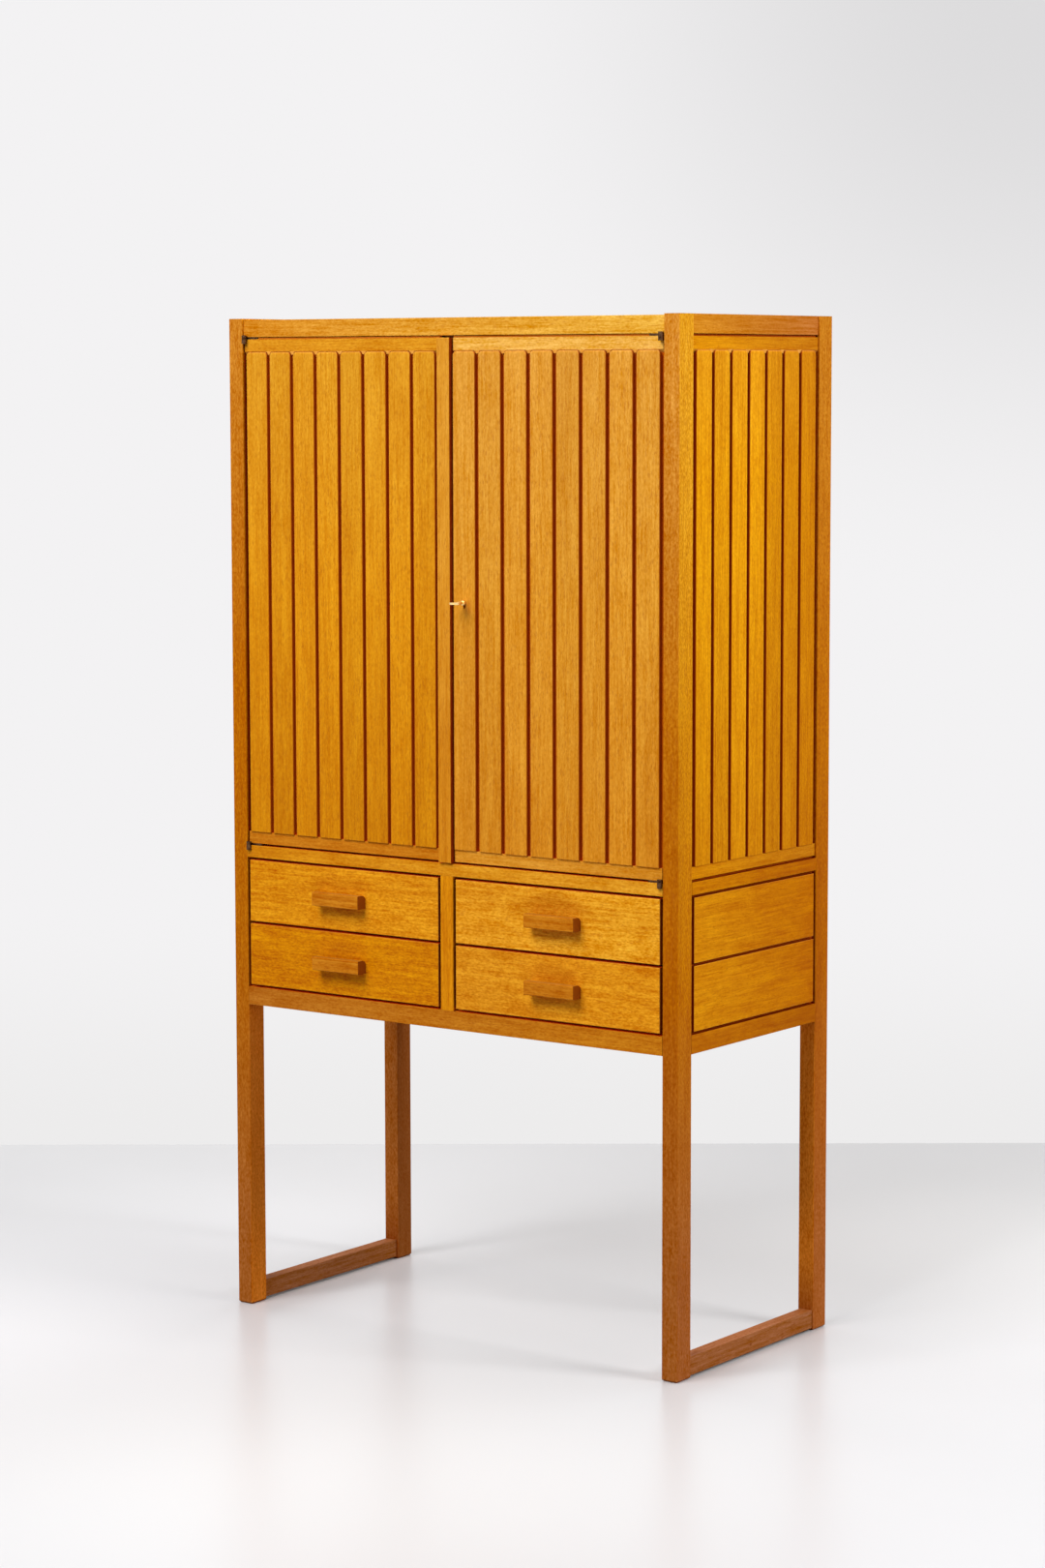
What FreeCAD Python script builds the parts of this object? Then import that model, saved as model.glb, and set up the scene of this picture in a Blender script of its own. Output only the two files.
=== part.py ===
import FreeCAD, Part
import os
import Sketcher

# Tall cabinet on legs, with two slatted doors over four drawers.
# Millimetres. X runs to the right, Y to the back, Z up. The origin is on the floor, under the middle of
# the whole cabinet with its key, which reaches out in front of the case.

SIZES = {
    # Case
    "cabinet_width": 890,
    "cabinet_depth": 440,
    "cabinet_height": 1650,
    "post_width": 29,
    "post_depth": 38.5,
    "post_easing": 1.5,
    "foot_chamfer": 3,
    # Rails and their tenons
    "leg_height": 513,
    "drawer_field_height": 218,
    "rail_height": 30,
    "rail_thickness": 22,
    "mid_rail_height": 20,
    "top_setback": 3,
    "front_rail_drop": 2,
    "foot_rail_lift": 4,
    "foot_rail_thickness": 22,
    "foot_rail_setback": 2.5,
    "tenon_length": 10,
    "tenon_thickness": 10,
    "tenon_shoulder": 4,
    # Panels
    "top_thickness": 14,
    "bottom_thickness": 10,
    "back_thickness": 8,
    "back_setback": 3,
    # Slatted faces of the doors and sides
    "face_gap": 3.6,
    "board_setback": 7.5,
    "board_thickness": 12,
    "trim_height": 20,
    "trim_setback": 3,
    "trim_bevel": 5,
    "slat_setback": 0.5,
    "slat_width": 43.5,
    "slat_rounding": 2.2,
    "door_slat_count": 8,
    "side_slat_count": 7,
    "side_slat_margin": 8.8,
    # Doors
    "door_side_gap": 2.5,
    "hinge_margin": 4.6,
    "stile_margin": 8,
    "meeting_margin": 0.5,
    "meeting_gap": 2,
    "stile_width": 25,
    "stile_proud": 5,
    "stile_drop": 2,
    "edge_easing": 1,
    "stop_length": 120,
    "stop_depth": 12,
    "stop_drop": 10,
    "stop_clearance": 0.3,
    # Hinges
    "hinge_inset": 4.5,
    "hinge_stand": 1.5,
    "knuckle_radius": 4,
    "knuckle_upper": 4.5,
    "knuckle_lower": 9,
    "leaf_clearance": 0.3,
    "leaf_length": 24,
    "leaf_depth": 13,
    "neck_width": 5,
    "pin_radius": 2,
    "pin_clearance": 0.05,
    "knuckle_clearance": 0.4,
    # Shelves
    "shelf_thickness": 16,
    "shelf_clearance": 1,
    "shelf_setback": 42,
    "shelf_count": 2,
    "shelf_pin_radius": 3,
    "shelf_pin_length": 16,
    "shelf_pin_depth": 8,
    "shelf_pin_inset": 55,
    # Drawers
    "divider_width": 25,
    "partition_thickness": 18,
    "drawer_gap": 4.3,
    "drawer_side_gap": 5,
    "drawer_front_thickness": 20,
    "drawer_box_inset": 6,
    "drawer_box_depth": 365,
    "drawer_wall": 12,
    "drawer_side_drop": 10,
    "drawer_side_lift": 8,
    "drawer_bottom_thickness": 5,
    "drawer_bottom_lift": 7,
    "runner_height": 11,
    "runner_clearance": 0.3,
    "apron_margin": 6.5,
    # Pulls
    "pull_length": 96,
    "pull_depth": 21,
    "pull_height": 22,
    "pull_fall": 9,
    "pull_easing": 1.5,
    # Lock and key
    "lock_height": 415,
    "key_inset": 22.5,
    "lock_edge": 1.5,
    "lock_width": 46,
    "lock_depth": 12,
    "lock_above": 23,
    "lock_below": 17,
    "lock_wall": 1.6,
    "bolt_length": 30,
    "bolt_height": 9,
    "bolt_thickness": 6,
    "bolt_rise": 9,
    "bolt_standoff": 2.2,
    "bolt_recess": 1,
    "bolt_clearance": 0.3,
    "key_radius": 2.5,
    "key_clearance": 0.3,
    "key_slot_width": 3.2,
    "key_slot_length": 9,
    "key_bit_reach": 7,
    "key_bit_width": 5,
    "key_bit_thickness": 2.4,
    "key_reach": 33,
    "key_bow_radius": 9.5,
    "key_bow_hole": 5.5,
    "key_bow_thickness": 3,
    "key_collar_radius": 3.8,
    "key_collar_length": 4,
    "key_collar_gap": 1,
}

AXES = "xyz"

doc = FreeCAD.newDocument("Cabinet")
nodes = []


class Formula:
    """A length that is written as an expression of spreadsheet cells."""

    def __init__(self, text):
        self.text = text

    def __add__(self, other):
        return Formula(f"({self.text} + {written(other)})")

    def __sub__(self, other):
        return Formula(f"({self.text} - {written(other)})")

    def __mul__(self, other):
        return Formula(f"({self.text} * {written(other)})")

    def __truediv__(self, other):
        return Formula(f"({self.text} / {written(other)})")

    def __neg__(self):
        return Formula(f"(0 - {self.text})")


def written(value):
    return value.text if isinstance(value, Formula) else str(value)


class Sheet:
    """The spreadsheet of driving dimensions; each attribute is the formula of one cell."""

    def __init__(self, sizes):
        self.cells = doc.addObject("Spreadsheet::Sheet", "Sizes")
        for row, (alias, value) in enumerate(sizes.items(), start=1):
            self.cells.set(f"A{row}", alias)
            self.cells.set(f"B{row}", str(value))
            self.cells.setAlias(f"B{row}", alias)
        doc.recompute()

    def __getattr__(self, alias):
        return Formula(f"Sizes.{alias}")


dim = Sheet(SIZES)


# Drawing helpers


def bind(thing, prop, value):
    thing.setExpression(prop, written(value))


def place(thing, corner, turn=0):
    thing.Placement.Rotation = FreeCAD.Rotation(FreeCAD.Vector(0, 0, 1), turn)
    for axis, value in zip(AXES, corner):
        bind(thing, f"Placement.Base.{axis}", value)


def node(thing, label):
    """Marks a document object as a finished piece."""
    thing.Label = label
    nodes.append(thing)
    return thing


def box(name, corner, size):
    thing = doc.addObject("Part::Box", name)
    for prop, value in zip(("Length", "Width", "Height"), size):
        bind(thing, prop, value)
    place(thing, corner)
    return thing


def cylinder(name, base, radius, height, along="z"):
    """A cylinder that starts at base and runs along +Z or +Y."""
    thing = doc.addObject("Part::Cylinder", name)
    bind(thing, "Radius", radius)
    bind(thing, "Height", height)
    place(thing, base)
    if along == "y":
        thing.Placement.Rotation = FreeCAD.Rotation(FreeCAD.Vector(1, 0, 0), -90)
    return thing


def fuse(name, shapes):
    thing = doc.addObject("Part::MultiFuse", name)
    thing.Shapes = shapes
    thing.Refine = True
    return thing


def group(name, members):
    thing = doc.addObject("Part::Compound", name)
    thing.Links = members
    return thing


def cut(name, base, tools):
    thing = doc.addObject("Part::Cut", name)
    thing.Base = base
    thing.Tool = tools[0] if len(tools) == 1 else group(name + "_tools", tools)
    return thing


def prism(name, plane, points, length, middle=False):
    """A body with a closed outline on one of its origin planes; each outline point is a pair of formulas."""
    body = doc.addObject("PartDesign::Body", name)
    sketch = body.newObject("Sketcher::SketchObject", name + "_outline")
    support = next(feature for feature in body.Origin.OriginFeatures if feature.Role == plane)
    sketch.AttachmentSupport = [(support, "")]
    sketch.MapMode = "FlatFace"
    count = len(points)
    for corner in range(count):
        start = FreeCAD.Vector(corner, corner * corner, 0)
        following = (corner + 1) % count
        sketch.addGeometry(Part.LineSegment(start, FreeCAD.Vector(following, following * following, 0)))
    for corner in range(count):
        sketch.addConstraint(Sketcher.Constraint("Coincident", corner, 2, (corner + 1) % count, 1))
    for corner, point in enumerate(points):
        for kind, value, start in zip(("DistanceX", "DistanceY"), point, (corner, corner * corner)):
            index = sketch.addConstraint(Sketcher.Constraint(kind, -1, 1, corner, 1, float(start)))
            bind(sketch, f"Constraints[{index}]", value)
    pad = body.newObject("PartDesign::Pad", name + "_pad")
    pad.Profile = sketch
    pad.Midplane = middle
    bind(pad, "Length", length)
    doc.recompute()
    return body


def dress(body, kind, size_name, size, chosen):
    """Rounds or chamfers the edges of a body that the chosen test picks."""
    base = body.Tip
    edges = [f"Edge{number}" for number, edge in enumerate(base.Shape.Edges, start=1) if chosen(edge)]
    feature = body.newObject(kind, f"{body.Name}_{size_name.lower()}")
    feature.Base = (base, edges)
    bind(feature, size_name, size)
    doc.recompute()
    return body


def runs_along(edge, axis):
    """True for a straight edge along one axis."""
    if len(edge.Vertexes) != 2:
        return False
    reach = edge.Vertexes[1].Point - edge.Vertexes[0].Point
    return abs(reach[AXES.index(axis)]) > 0.999 * edge.Length


def lies_at(edge, axis, value):
    """True for an edge whose every end has the given coordinate."""
    return all(abs(vertex.Point[AXES.index(axis)] - value) < 0.01 for vertex in edge.Vertexes)


def rectangle(width, depth):
    return [(Formula("0"), Formula("0")), (width, Formula("0")), (width, depth), (Formula("0"), depth)]


def eased_board(name, corner, size, turn=0):
    """A board whose front face, before any turn the one towards -Y, has rounded edges."""
    body = prism(name, "XY_Plane", rectangle(size[0], size[1]), size[2])
    dress(body, "PartDesign::Fillet", "Radius", dim.edge_easing, lambda edge: lies_at(edge, "y", 0))
    place(body, corner, turn)
    return body


# Planes and levels that several pieces share

half_width = dim.cabinet_width / 2
front = (dim.key_reach - dim.cabinet_depth) / 2
rear = front + dim.cabinet_depth
inner_x = half_width - dim.post_width
inner_front = front + dim.post_depth
inner_rear = rear - dim.post_depth
side_width = inner_rear - inner_front
bottom_rail_top = dim.leg_height + dim.rail_height
mid_rail_base = bottom_rail_top + dim.drawer_field_height
mid_rail_top = mid_rail_base + dim.mid_rail_height
top_rail_base = dim.cabinet_height - dim.rail_height
top_level = dim.cabinet_height - dim.front_rail_drop
face_base = mid_rail_top + dim.face_gap
face_top = top_rail_base - dim.face_gap
face_height = face_top - face_base
board_back = dim.board_setback + dim.board_thickness
back_panel_front = rear - dim.back_setback - dim.back_thickness
rear_rail_front = back_panel_front - dim.rail_thickness
drawer_front_height = (dim.drawer_field_height - dim.drawer_gap * 3) / 2
hinge_x = inner_x - dim.hinge_inset
hinge_y = front - dim.hinge_stand
leaf_thickness = (dim.face_gap - dim.leaf_clearance) / 2

SIDES = {"left": -1, "right": 1}
DRAWER_ROWS = {"lower": 0, "upper": 1}


# Rails with stub tenons, and posts with the mortises for them

tenons = []
rails = {}


def rail(label, corner, size, run):
    """A rail along X or Y, with a stub tenon at each end."""
    along = AXES.index(run)
    across = 1 - along
    pieces = [box(label + "_beam", corner, size)]
    ends = {"low": corner[along] - dim.tenon_length, "high": corner[along] + size[along]}
    for end, start in ends.items():
        tenon_corner = list(corner)
        tenon_corner[along] = start
        tenon_corner[across] = corner[across] + (size[across] - dim.tenon_thickness) / 2
        tenon_corner[2] = corner[2] + dim.tenon_shoulder
        tenon_size = list(size)
        tenon_size[along] = dim.tenon_length
        tenon_size[across] = dim.tenon_thickness
        tenon_size[2] = size[2] - dim.tenon_shoulder * 2
        pieces.append(box(f"{label}_tenon_{end}", tenon_corner, tenon_size))
    tenons.extend(pieces[1:])
    rails[label] = fuse(label + "_joined", pieces)


def cross_rail(label, y, base, height):
    rail(label, (-inner_x, y, base), (inner_x * 2, dim.rail_thickness, height), "x")


def side_rail(label, sign, thickness, setback, base, height):
    x = half_width - setback - thickness if sign > 0 else -half_width + setback
    rail(label, (x, inner_front, base), (thickness, side_width, height), "y")


cross_rail("top_rail_front", front + dim.top_setback, top_rail_base, dim.rail_height - dim.front_rail_drop)
cross_rail("mid_rail_front", front, mid_rail_base, dim.mid_rail_height)
cross_rail("bottom_rail_front", front, dim.leg_height, dim.rail_height)
cross_rail("top_rail_rear", rear_rail_front, top_rail_base, dim.rail_height - dim.front_rail_drop)
cross_rail("mid_rail_rear", rear_rail_front, mid_rail_base, dim.mid_rail_height)
cross_rail("bottom_rail_rear", rear_rail_front, dim.leg_height, dim.rail_height)
flush = Formula("0")
for side, sign in SIDES.items():
    top_side_thickness = dim.post_width - dim.top_setback
    side_rail(f"top_rail_{side}", sign, top_side_thickness, dim.top_setback, top_rail_base, dim.rail_height)
    side_rail(f"mid_rail_{side}", sign, dim.post_width, flush, mid_rail_base, dim.mid_rail_height)
    side_rail(f"bottom_rail_{side}", sign, dim.post_width, flush, dim.leg_height, dim.rail_height)
    side_rail(
        f"foot_rail_{side}",
        sign,
        dim.foot_rail_thickness,
        dim.foot_rail_setback,
        dim.foot_rail_lift,
        dim.rail_height,
    )

mortises = group("mortises", tenons)
post_outline = rectangle(dim.post_width, dim.post_depth)
for side, sign in SIDES.items():
    for end, y in {"front": front, "rear": inner_rear}.items():
        name = f"post_{end}_{side}"
        blank = prism(name + "_blank", "XY_Plane", post_outline, dim.cabinet_height)
        dress(blank, "PartDesign::Chamfer", "Size", dim.foot_chamfer, lambda edge: lies_at(edge, "z", 0))
        dress(blank, "PartDesign::Fillet", "Radius", dim.post_easing, lambda edge: runs_along(edge, "z"))
        place(blank, (inner_x if sign > 0 else -half_width, y, Formula("0")))
        node(cut(name + "_mortised", blank, [mortises]), name)


# Panels of the case


def panel(label, y, y_end, z, z_end):
    """A board between the posts, from one side of the case to the other."""
    node(box(label + "_board", (-inner_x, y, z), (inner_x * 2, y_end - y, z_end - z)), label)


panel(
    "top_panel",
    front + dim.top_setback + dim.rail_thickness,
    rear_rail_front,
    top_level - dim.top_thickness,
    top_level,
)
panel("cupboard_floor", front + dim.rail_thickness, rear_rail_front, mid_rail_base, mid_rail_top)
panel(
    "case_bottom",
    front + dim.rail_thickness,
    rear_rail_front,
    bottom_rail_top - dim.bottom_thickness,
    bottom_rail_top,
)
panel("back_panel", back_panel_front, back_panel_front + dim.back_thickness, dim.leg_height, top_level)


# Slatted faces: drawn from their lower left corner, with Y from the face of the posts inwards


def trims(name, width, origin, turn):
    """Plain strips along the top and bottom of a slatted face; the upper one has a bevel below it."""
    bevel_edge = face_height - dim.trim_height
    upper_section = [
        (dim.trim_setback, face_height),
        (dim.trim_setback, bevel_edge),
        (dim.board_setback, bevel_edge - dim.trim_bevel),
        (dim.board_setback, face_height),
    ]
    lower_section = [
        (dim.trim_setback, Formula("0")),
        (dim.board_setback, Formula("0")),
        (dim.board_setback, dim.trim_height),
        (dim.trim_setback, dim.trim_height),
    ]
    strips = []
    for level, section in {"upper": upper_section, "lower": lower_section}.items():
        strip = prism(f"{name}_{level}", "YZ_Plane", section, width)
        place(strip, origin, turn)
        strips.append(strip)
    return group(name, strips)


def slats(name, pitch, count, origin, turn):
    """Upright slats with rounded front edges, scribed at the top over the bevel of the upper trim."""
    top = face_height - dim.trim_height
    section = [
        (dim.slat_setback, dim.trim_height),
        (dim.board_setback, dim.trim_height),
        (dim.board_setback, top - dim.trim_bevel),
        (dim.trim_setback, top),
        (dim.slat_setback, top),
    ]
    body = prism(name, "YZ_Plane", section, dim.slat_width)
    body.AllowCompound = True
    face = SIZES["slat_setback"]
    dress(
        body,
        "PartDesign::Fillet",
        "Radius",
        dim.slat_rounding,
        lambda edge: runs_along(edge, "z") and lies_at(edge, "y", face),
    )
    row = body.newObject("PartDesign::LinearPattern", name + "_row")
    row.TransformMode = "Whole shape"
    axis = next(feature for feature in body.Origin.OriginFeatures if feature.Role == "X_Axis")
    row.Direction = (axis, [""])
    bind(row, "Length", pitch * (count - 1))
    bind(row, "Occurrences", count)
    body.Tip = row
    place(body, origin, turn)
    doc.recompute()
    return body


def slat_pitch(width, low_margin, high_margin, count):
    return (width - low_margin - high_margin - dim.slat_width) / (count - 1)


# Sides: backing boards, trims, slats and the two fixed boards at the level of the drawers

drawer_levels = {}
for row, number in DRAWER_ROWS.items():
    drawer_levels[row] = bottom_rail_top + dim.drawer_gap + (drawer_front_height + dim.drawer_gap) * number

cupboard_height = top_level - dim.top_thickness - mid_rail_top
shelf_spacing = (cupboard_height + dim.shelf_thickness) / (dim.shelf_count + 1)
shelf_levels = {}
for number in range(SIZES["shelf_count"]):
    shelf_levels[f"shelf_{number + 1}"] = mid_rail_top + shelf_spacing * (number + 1) - dim.shelf_thickness
pin_places = {"front": inner_front + dim.shelf_pin_inset, "rear": inner_rear - dim.shelf_pin_inset}
board_face = half_width - board_back


def shelf_pin(name, sign, y, shelf_level):
    """A brass pin let into the side board, under a shelf."""
    outer = board_face + dim.shelf_pin_depth
    start = outer - dim.shelf_pin_length if sign > 0 else -outer
    radius = dim.shelf_pin_radius
    pin = cylinder(name, (start, y, shelf_level - radius), radius, dim.shelf_pin_length)
    pin.Placement.Rotation = FreeCAD.Rotation(FreeCAD.Vector(0, 1, 0), 90)
    return pin


pins = []
board_levels = {"lower": (bottom_rail_top, mid_rail_base), "upper": (mid_rail_top, top_rail_base)}
for side, sign in SIDES.items():
    turn = 90 * sign
    board_x = board_face if sign > 0 else -half_width + dim.board_setback
    boards = []
    for name, (base, top) in board_levels.items():
        corner = (board_x, inner_front, base)
        size = (dim.board_thickness, side_width, top - base)
        boards.append(box(f"side_board_{side}_{name}", corner, size))
    side_pins = []
    for level_name, level in shelf_levels.items():
        for place_name, y in pin_places.items():
            side_pins.append(shelf_pin(f"{level_name}_pin_{side}_{place_name}", sign, y, level))
    pins.extend(side_pins)
    drilled = cut(f"side_board_{side}_drilled", boards[1], side_pins)
    node(group(f"side_boards_{side}_pair", [boards[0], drilled]), f"side_boards_{side}")

    face_x = half_width * sign
    start_y = inner_front if sign > 0 else inner_rear
    strips = trims(f"side_trims_{side}_pair", side_width, (face_x, start_y, face_base), turn)
    node(strips, f"side_trims_{side}")
    pitch = slat_pitch(side_width, dim.side_slat_margin, dim.side_slat_margin, dim.side_slat_count)
    slat_origin = (face_x, start_y + dim.side_slat_margin * sign, face_base)
    row = slats(f"side_slats_{side}_row", pitch, dim.side_slat_count, slat_origin, turn)
    node(row, f"side_slats_{side}")

    aprons = []
    apron_length = side_width - dim.apron_margin * 2
    for row_name, level in drawer_levels.items():
        apron = eased_board(
            f"side_apron_{side}_{row_name}",
            (face_x, start_y + dim.apron_margin * sign, level),
            (apron_length, dim.board_setback, drawer_front_height),
            turn,
        )
        aprons.append(apron)
    node(group(f"side_aprons_{side}_pair", aprons), f"side_aprons_{side}")

node(group("shelf_pins_all", pins), "shelf_pins")


# Shelves, notched round the rear posts

shelf_half = board_face - dim.shelf_clearance
notch_half = inner_x - dim.shelf_clearance
notch_y = inner_rear - dim.shelf_clearance
shelf_front = front + dim.shelf_setback
shelf_rear = back_panel_front - dim.shelf_clearance
shelf_outline = [
    (-shelf_half, shelf_front),
    (shelf_half, shelf_front),
    (shelf_half, notch_y),
    (notch_half, notch_y),
    (notch_half, shelf_rear),
    (-notch_half, shelf_rear),
    (-notch_half, notch_y),
    (-shelf_half, notch_y),
]
shelves = []
for level_name, level in shelf_levels.items():
    shelf = prism(level_name, "XY_Plane", shelf_outline, dim.shelf_thickness)
    place(shelf, (Formula("0"), Formula("0"), level))
    shelves.append(shelf)
node(group("shelves_pair", shelves), "shelves")


# Divider between the drawers, thicker at its front edge

half_stile = dim.divider_width / 2
half_partition = dim.partition_thickness / 2
divider_outline = [
    (-half_stile, front),
    (half_stile, front),
    (half_stile, front + dim.rail_thickness),
    (half_partition, front + dim.rail_thickness),
    (half_partition, rear_rail_front),
    (-half_partition, rear_rail_front),
    (-half_partition, front + dim.rail_thickness),
    (-half_stile, front + dim.rail_thickness),
]
divider = prism("divider", "XY_Plane", divider_outline, dim.drawer_field_height)
place(divider, (Formula("0"), Formula("0"), bottom_rail_top))
node(divider, "drawer_divider")


# Drawers and their runners

drawer_width = inner_x - dim.divider_width / 2 - dim.drawer_side_gap * 2
drawer_inner = dim.divider_width / 2 + dim.drawer_side_gap
box_width = drawer_width - dim.drawer_box_inset * 2
box_front = front + dim.drawer_front_thickness
side_height = drawer_front_height - dim.drawer_side_lift - dim.drawer_side_drop


def drawer_box(name, x, z):
    """Two sides, a back and a bottom that is housed between them."""
    pieces = []
    wall = dim.drawer_wall
    inside = box_width - wall * 2
    for hand, wall_x in {"left": x, "right": x + box_width - wall}.items():
        corner = (wall_x, box_front, z)
        pieces.append(box(f"{name}_side_{hand}", corner, (wall, dim.drawer_box_depth, side_height)))
    back_y = box_front + dim.drawer_box_depth - wall
    pieces.append(box(f"{name}_back", (x + wall, back_y, z), (inside, wall, side_height)))
    bottom_size = (inside, dim.drawer_box_depth - wall, dim.drawer_bottom_thickness)
    pieces.append(box(f"{name}_bottom", (x + wall, box_front, z + dim.drawer_bottom_lift), bottom_size))
    return group(name, pieces)


def pull(name, x, z):
    """A wooden bar with a full front lip, rounded down behind it towards the drawer."""
    low = -dim.pull_height / 2
    high = dim.pull_height / 2
    section = [
        (-dim.pull_depth, low),
        (Formula("0"), low),
        (Formula("0"), high),
        (-dim.pull_depth, high),
    ]
    body = prism(name, "YZ_Plane", section, dim.pull_length, middle=True)
    half_height = SIZES["pull_height"] / 2
    dress(
        body,
        "PartDesign::Fillet",
        "Radius",
        dim.pull_fall,
        lambda edge: lies_at(edge, "y", 0) and lies_at(edge, "z", half_height),
    )
    face = -SIZES["pull_depth"]
    dress(body, "PartDesign::Fillet", "Radius", dim.pull_easing, lambda edge: lies_at(edge, "y", face))
    place(body, (x, front, z))
    return body


runners = []
for side, sign in SIDES.items():
    front_x = drawer_inner if sign > 0 else -drawer_inner - drawer_width
    box_x = front_x + dim.drawer_box_inset
    for row_name, level in drawer_levels.items():
        name = f"drawer_{row_name}_{side}"
        box_z = level + dim.drawer_side_lift
        board = eased_board(
            name + "_front_board",
            (front_x, front, level),
            (drawer_width, dim.drawer_front_thickness, drawer_front_height),
        )
        node(board, name + "_front")
        node(drawer_box(name + "_box_group", box_x, box_z), name + "_box")
        pull_x = front_x + drawer_width / 2
        node(pull(name + "_pull_bar", pull_x, level + drawer_front_height / 2), name + "_pull")

        runner_z = box_z - dim.runner_clearance - dim.runner_height
        inner_start = half_partition
        inner_end = drawer_inner + dim.drawer_box_inset + dim.drawer_wall
        outer_start = drawer_inner + dim.drawer_box_inset + box_width - dim.drawer_wall
        spans = {"inner": (inner_start, inner_end), "outer": (outer_start, board_face)}
        for where, (start, end) in spans.items():
            runner_x = start if sign > 0 else -end
            corner = (runner_x, inner_front, runner_z)
            size = (end - start, side_width, dim.runner_height)
            runners.append(box(f"{name}_runner_{where}", corner, size))
node(group("drawer_runners_all", runners), "drawer_runners")


# Hinges: a leaf and a knuckle on the case, a leaf and a knuckle on the door, one pin through both


def leaf(name, sign, z):
    """The flat leaf behind the face, and the neck that carries the knuckle."""
    plate_y = front + dim.trim_setback + dim.knuckle_clearance
    plate_x = hinge_x - dim.leaf_length if sign > 0 else -hinge_x
    plate = box(name + "_plate", (plate_x, plate_y, z), (dim.leaf_length, dim.leaf_depth, leaf_thickness))
    neck_x = hinge_x - dim.neck_width / 2 if sign > 0 else -hinge_x - dim.neck_width / 2
    neck = box(name + "_neck", (neck_x, hinge_y, z), (dim.neck_width, plate_y - hinge_y, leaf_thickness))
    return [plate, neck]


def hinge(side, sign, end):
    """The case half with its pin and the door half of one hinge."""
    name = f"hinge_{end}_{side}"
    axis_x = hinge_x * sign
    if end == "top":
        case_leaf_z = top_rail_base - leaf_thickness
        door_leaf_z = face_top
        lower_top = face_top + leaf_thickness
    else:
        case_leaf_z = mid_rail_top
        door_leaf_z = face_base - leaf_thickness
        lower_top = mid_rail_top + leaf_thickness
    lower_base = lower_top - dim.knuckle_lower
    upper_base = lower_top + dim.leaf_clearance
    radius = dim.knuckle_radius
    lower = cylinder(name + "_lower", (axis_x, hinge_y, lower_base), radius, dim.knuckle_lower)
    upper = cylinder(name + "_upper", (axis_x, hinge_y, upper_base), radius, dim.knuckle_upper)
    pin_length = dim.knuckle_lower + dim.leaf_clearance + dim.knuckle_upper
    pin = cylinder(name + "_pin", (axis_x, hinge_y, lower_base), dim.pin_radius, pin_length)
    bore_radius = dim.pin_radius + dim.pin_clearance
    bore = cylinder(name + "_bore", (axis_x, hinge_y, lower_base), bore_radius, pin_length)
    case_knuckle, door_knuckle = (upper, lower) if end == "top" else (lower, upper)
    case_half = fuse(name + "_case", [case_knuckle, pin] + leaf(name + "_case_leaf", sign, case_leaf_z))
    door_solid = fuse(name + "_door_solid", [door_knuckle] + leaf(name + "_door_leaf", sign, door_leaf_z))
    door_half = cut(name + "_door", door_solid, [bore])
    return case_half, door_half


case_halves = []
door_halves = {}
for side, sign in SIDES.items():
    pair = [hinge(side, sign, end) for end in ("top", "bottom")]
    case_halves.extend(case_half for case_half, door_half in pair)
    door_halves[side] = [door_half for case_half, door_half in pair]
node(group("hinge_case_leaves_all", case_halves), "hinge_case_leaves")

# The front mid rail is hollowed round the two lower knuckles

notches = []
for side, sign in SIDES.items():
    notch_radius = dim.knuckle_radius + dim.knuckle_clearance
    notch_base = mid_rail_top + leaf_thickness - dim.knuckle_lower - dim.knuckle_clearance
    corner = (hinge_x * sign, hinge_y, notch_base)
    notches.append(cylinder(f"knuckle_notch_{side}", corner, notch_radius, dim.knuckle_lower))
for label, shape in rails.items():
    node(cut(label + "_notched", shape, notches) if label == "mid_rail_front" else shape, label)


# Doors

left_door_x = -inner_x + dim.door_side_gap
left_field = -left_door_x - dim.stile_width / 2
right_door_x = dim.stile_width / 2 + dim.meeting_gap
right_field = inner_x - dim.door_side_gap - right_door_x
lock_axis_x = right_door_x + dim.key_inset
lock_axis_z = face_base + dim.lock_height


def door_board(name, x, width):
    return box(name, (x, front + dim.board_setback, face_base), (width, dim.board_thickness, face_height))


keyhole_start = front - dim.slat_setback
keyhole_length = board_back + dim.slat_setback * 2
keyhole_round = cylinder(
    "keyhole_round",
    (lock_axis_x, keyhole_start, lock_axis_z),
    dim.key_radius + dim.key_clearance,
    keyhole_length,
    along="y",
)
keyhole_slot = box(
    "keyhole_slot",
    (lock_axis_x - dim.key_slot_width / 2, keyhole_start, lock_axis_z - dim.key_slot_length),
    (dim.key_slot_width, keyhole_length, dim.key_slot_length),
)
keyhole = fuse("keyhole", [keyhole_round, keyhole_slot])

node(door_board("left_board", left_door_x, left_field), "door_left_board")
right_board = door_board("right_board", right_door_x, right_field)
node(cut("right_board_drilled", right_board, [keyhole]), "door_right_board")

left_face = (left_door_x, front, face_base)
right_face = (right_door_x, front, face_base)
node(trims("left_rails", left_field, left_face, 0), "door_left_rails")
node(trims("right_rails", right_field, right_face, 0), "door_right_rails")

left_pitch = slat_pitch(left_field, dim.hinge_margin, dim.stile_margin, dim.door_slat_count)
left_slat_origin = (left_door_x + dim.hinge_margin, front, face_base)
node(slats("left_slats", left_pitch, dim.door_slat_count, left_slat_origin, 0), "door_left_slats")
right_pitch = slat_pitch(right_field, dim.meeting_margin, dim.hinge_margin, dim.door_slat_count)
right_slat_origin = (right_door_x + dim.meeting_margin, front, face_base)
right_slats = slats("right_slats", right_pitch, dim.door_slat_count, right_slat_origin, 0)
node(cut("right_slats_drilled", right_slats, [keyhole]), "door_right_slats")

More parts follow.
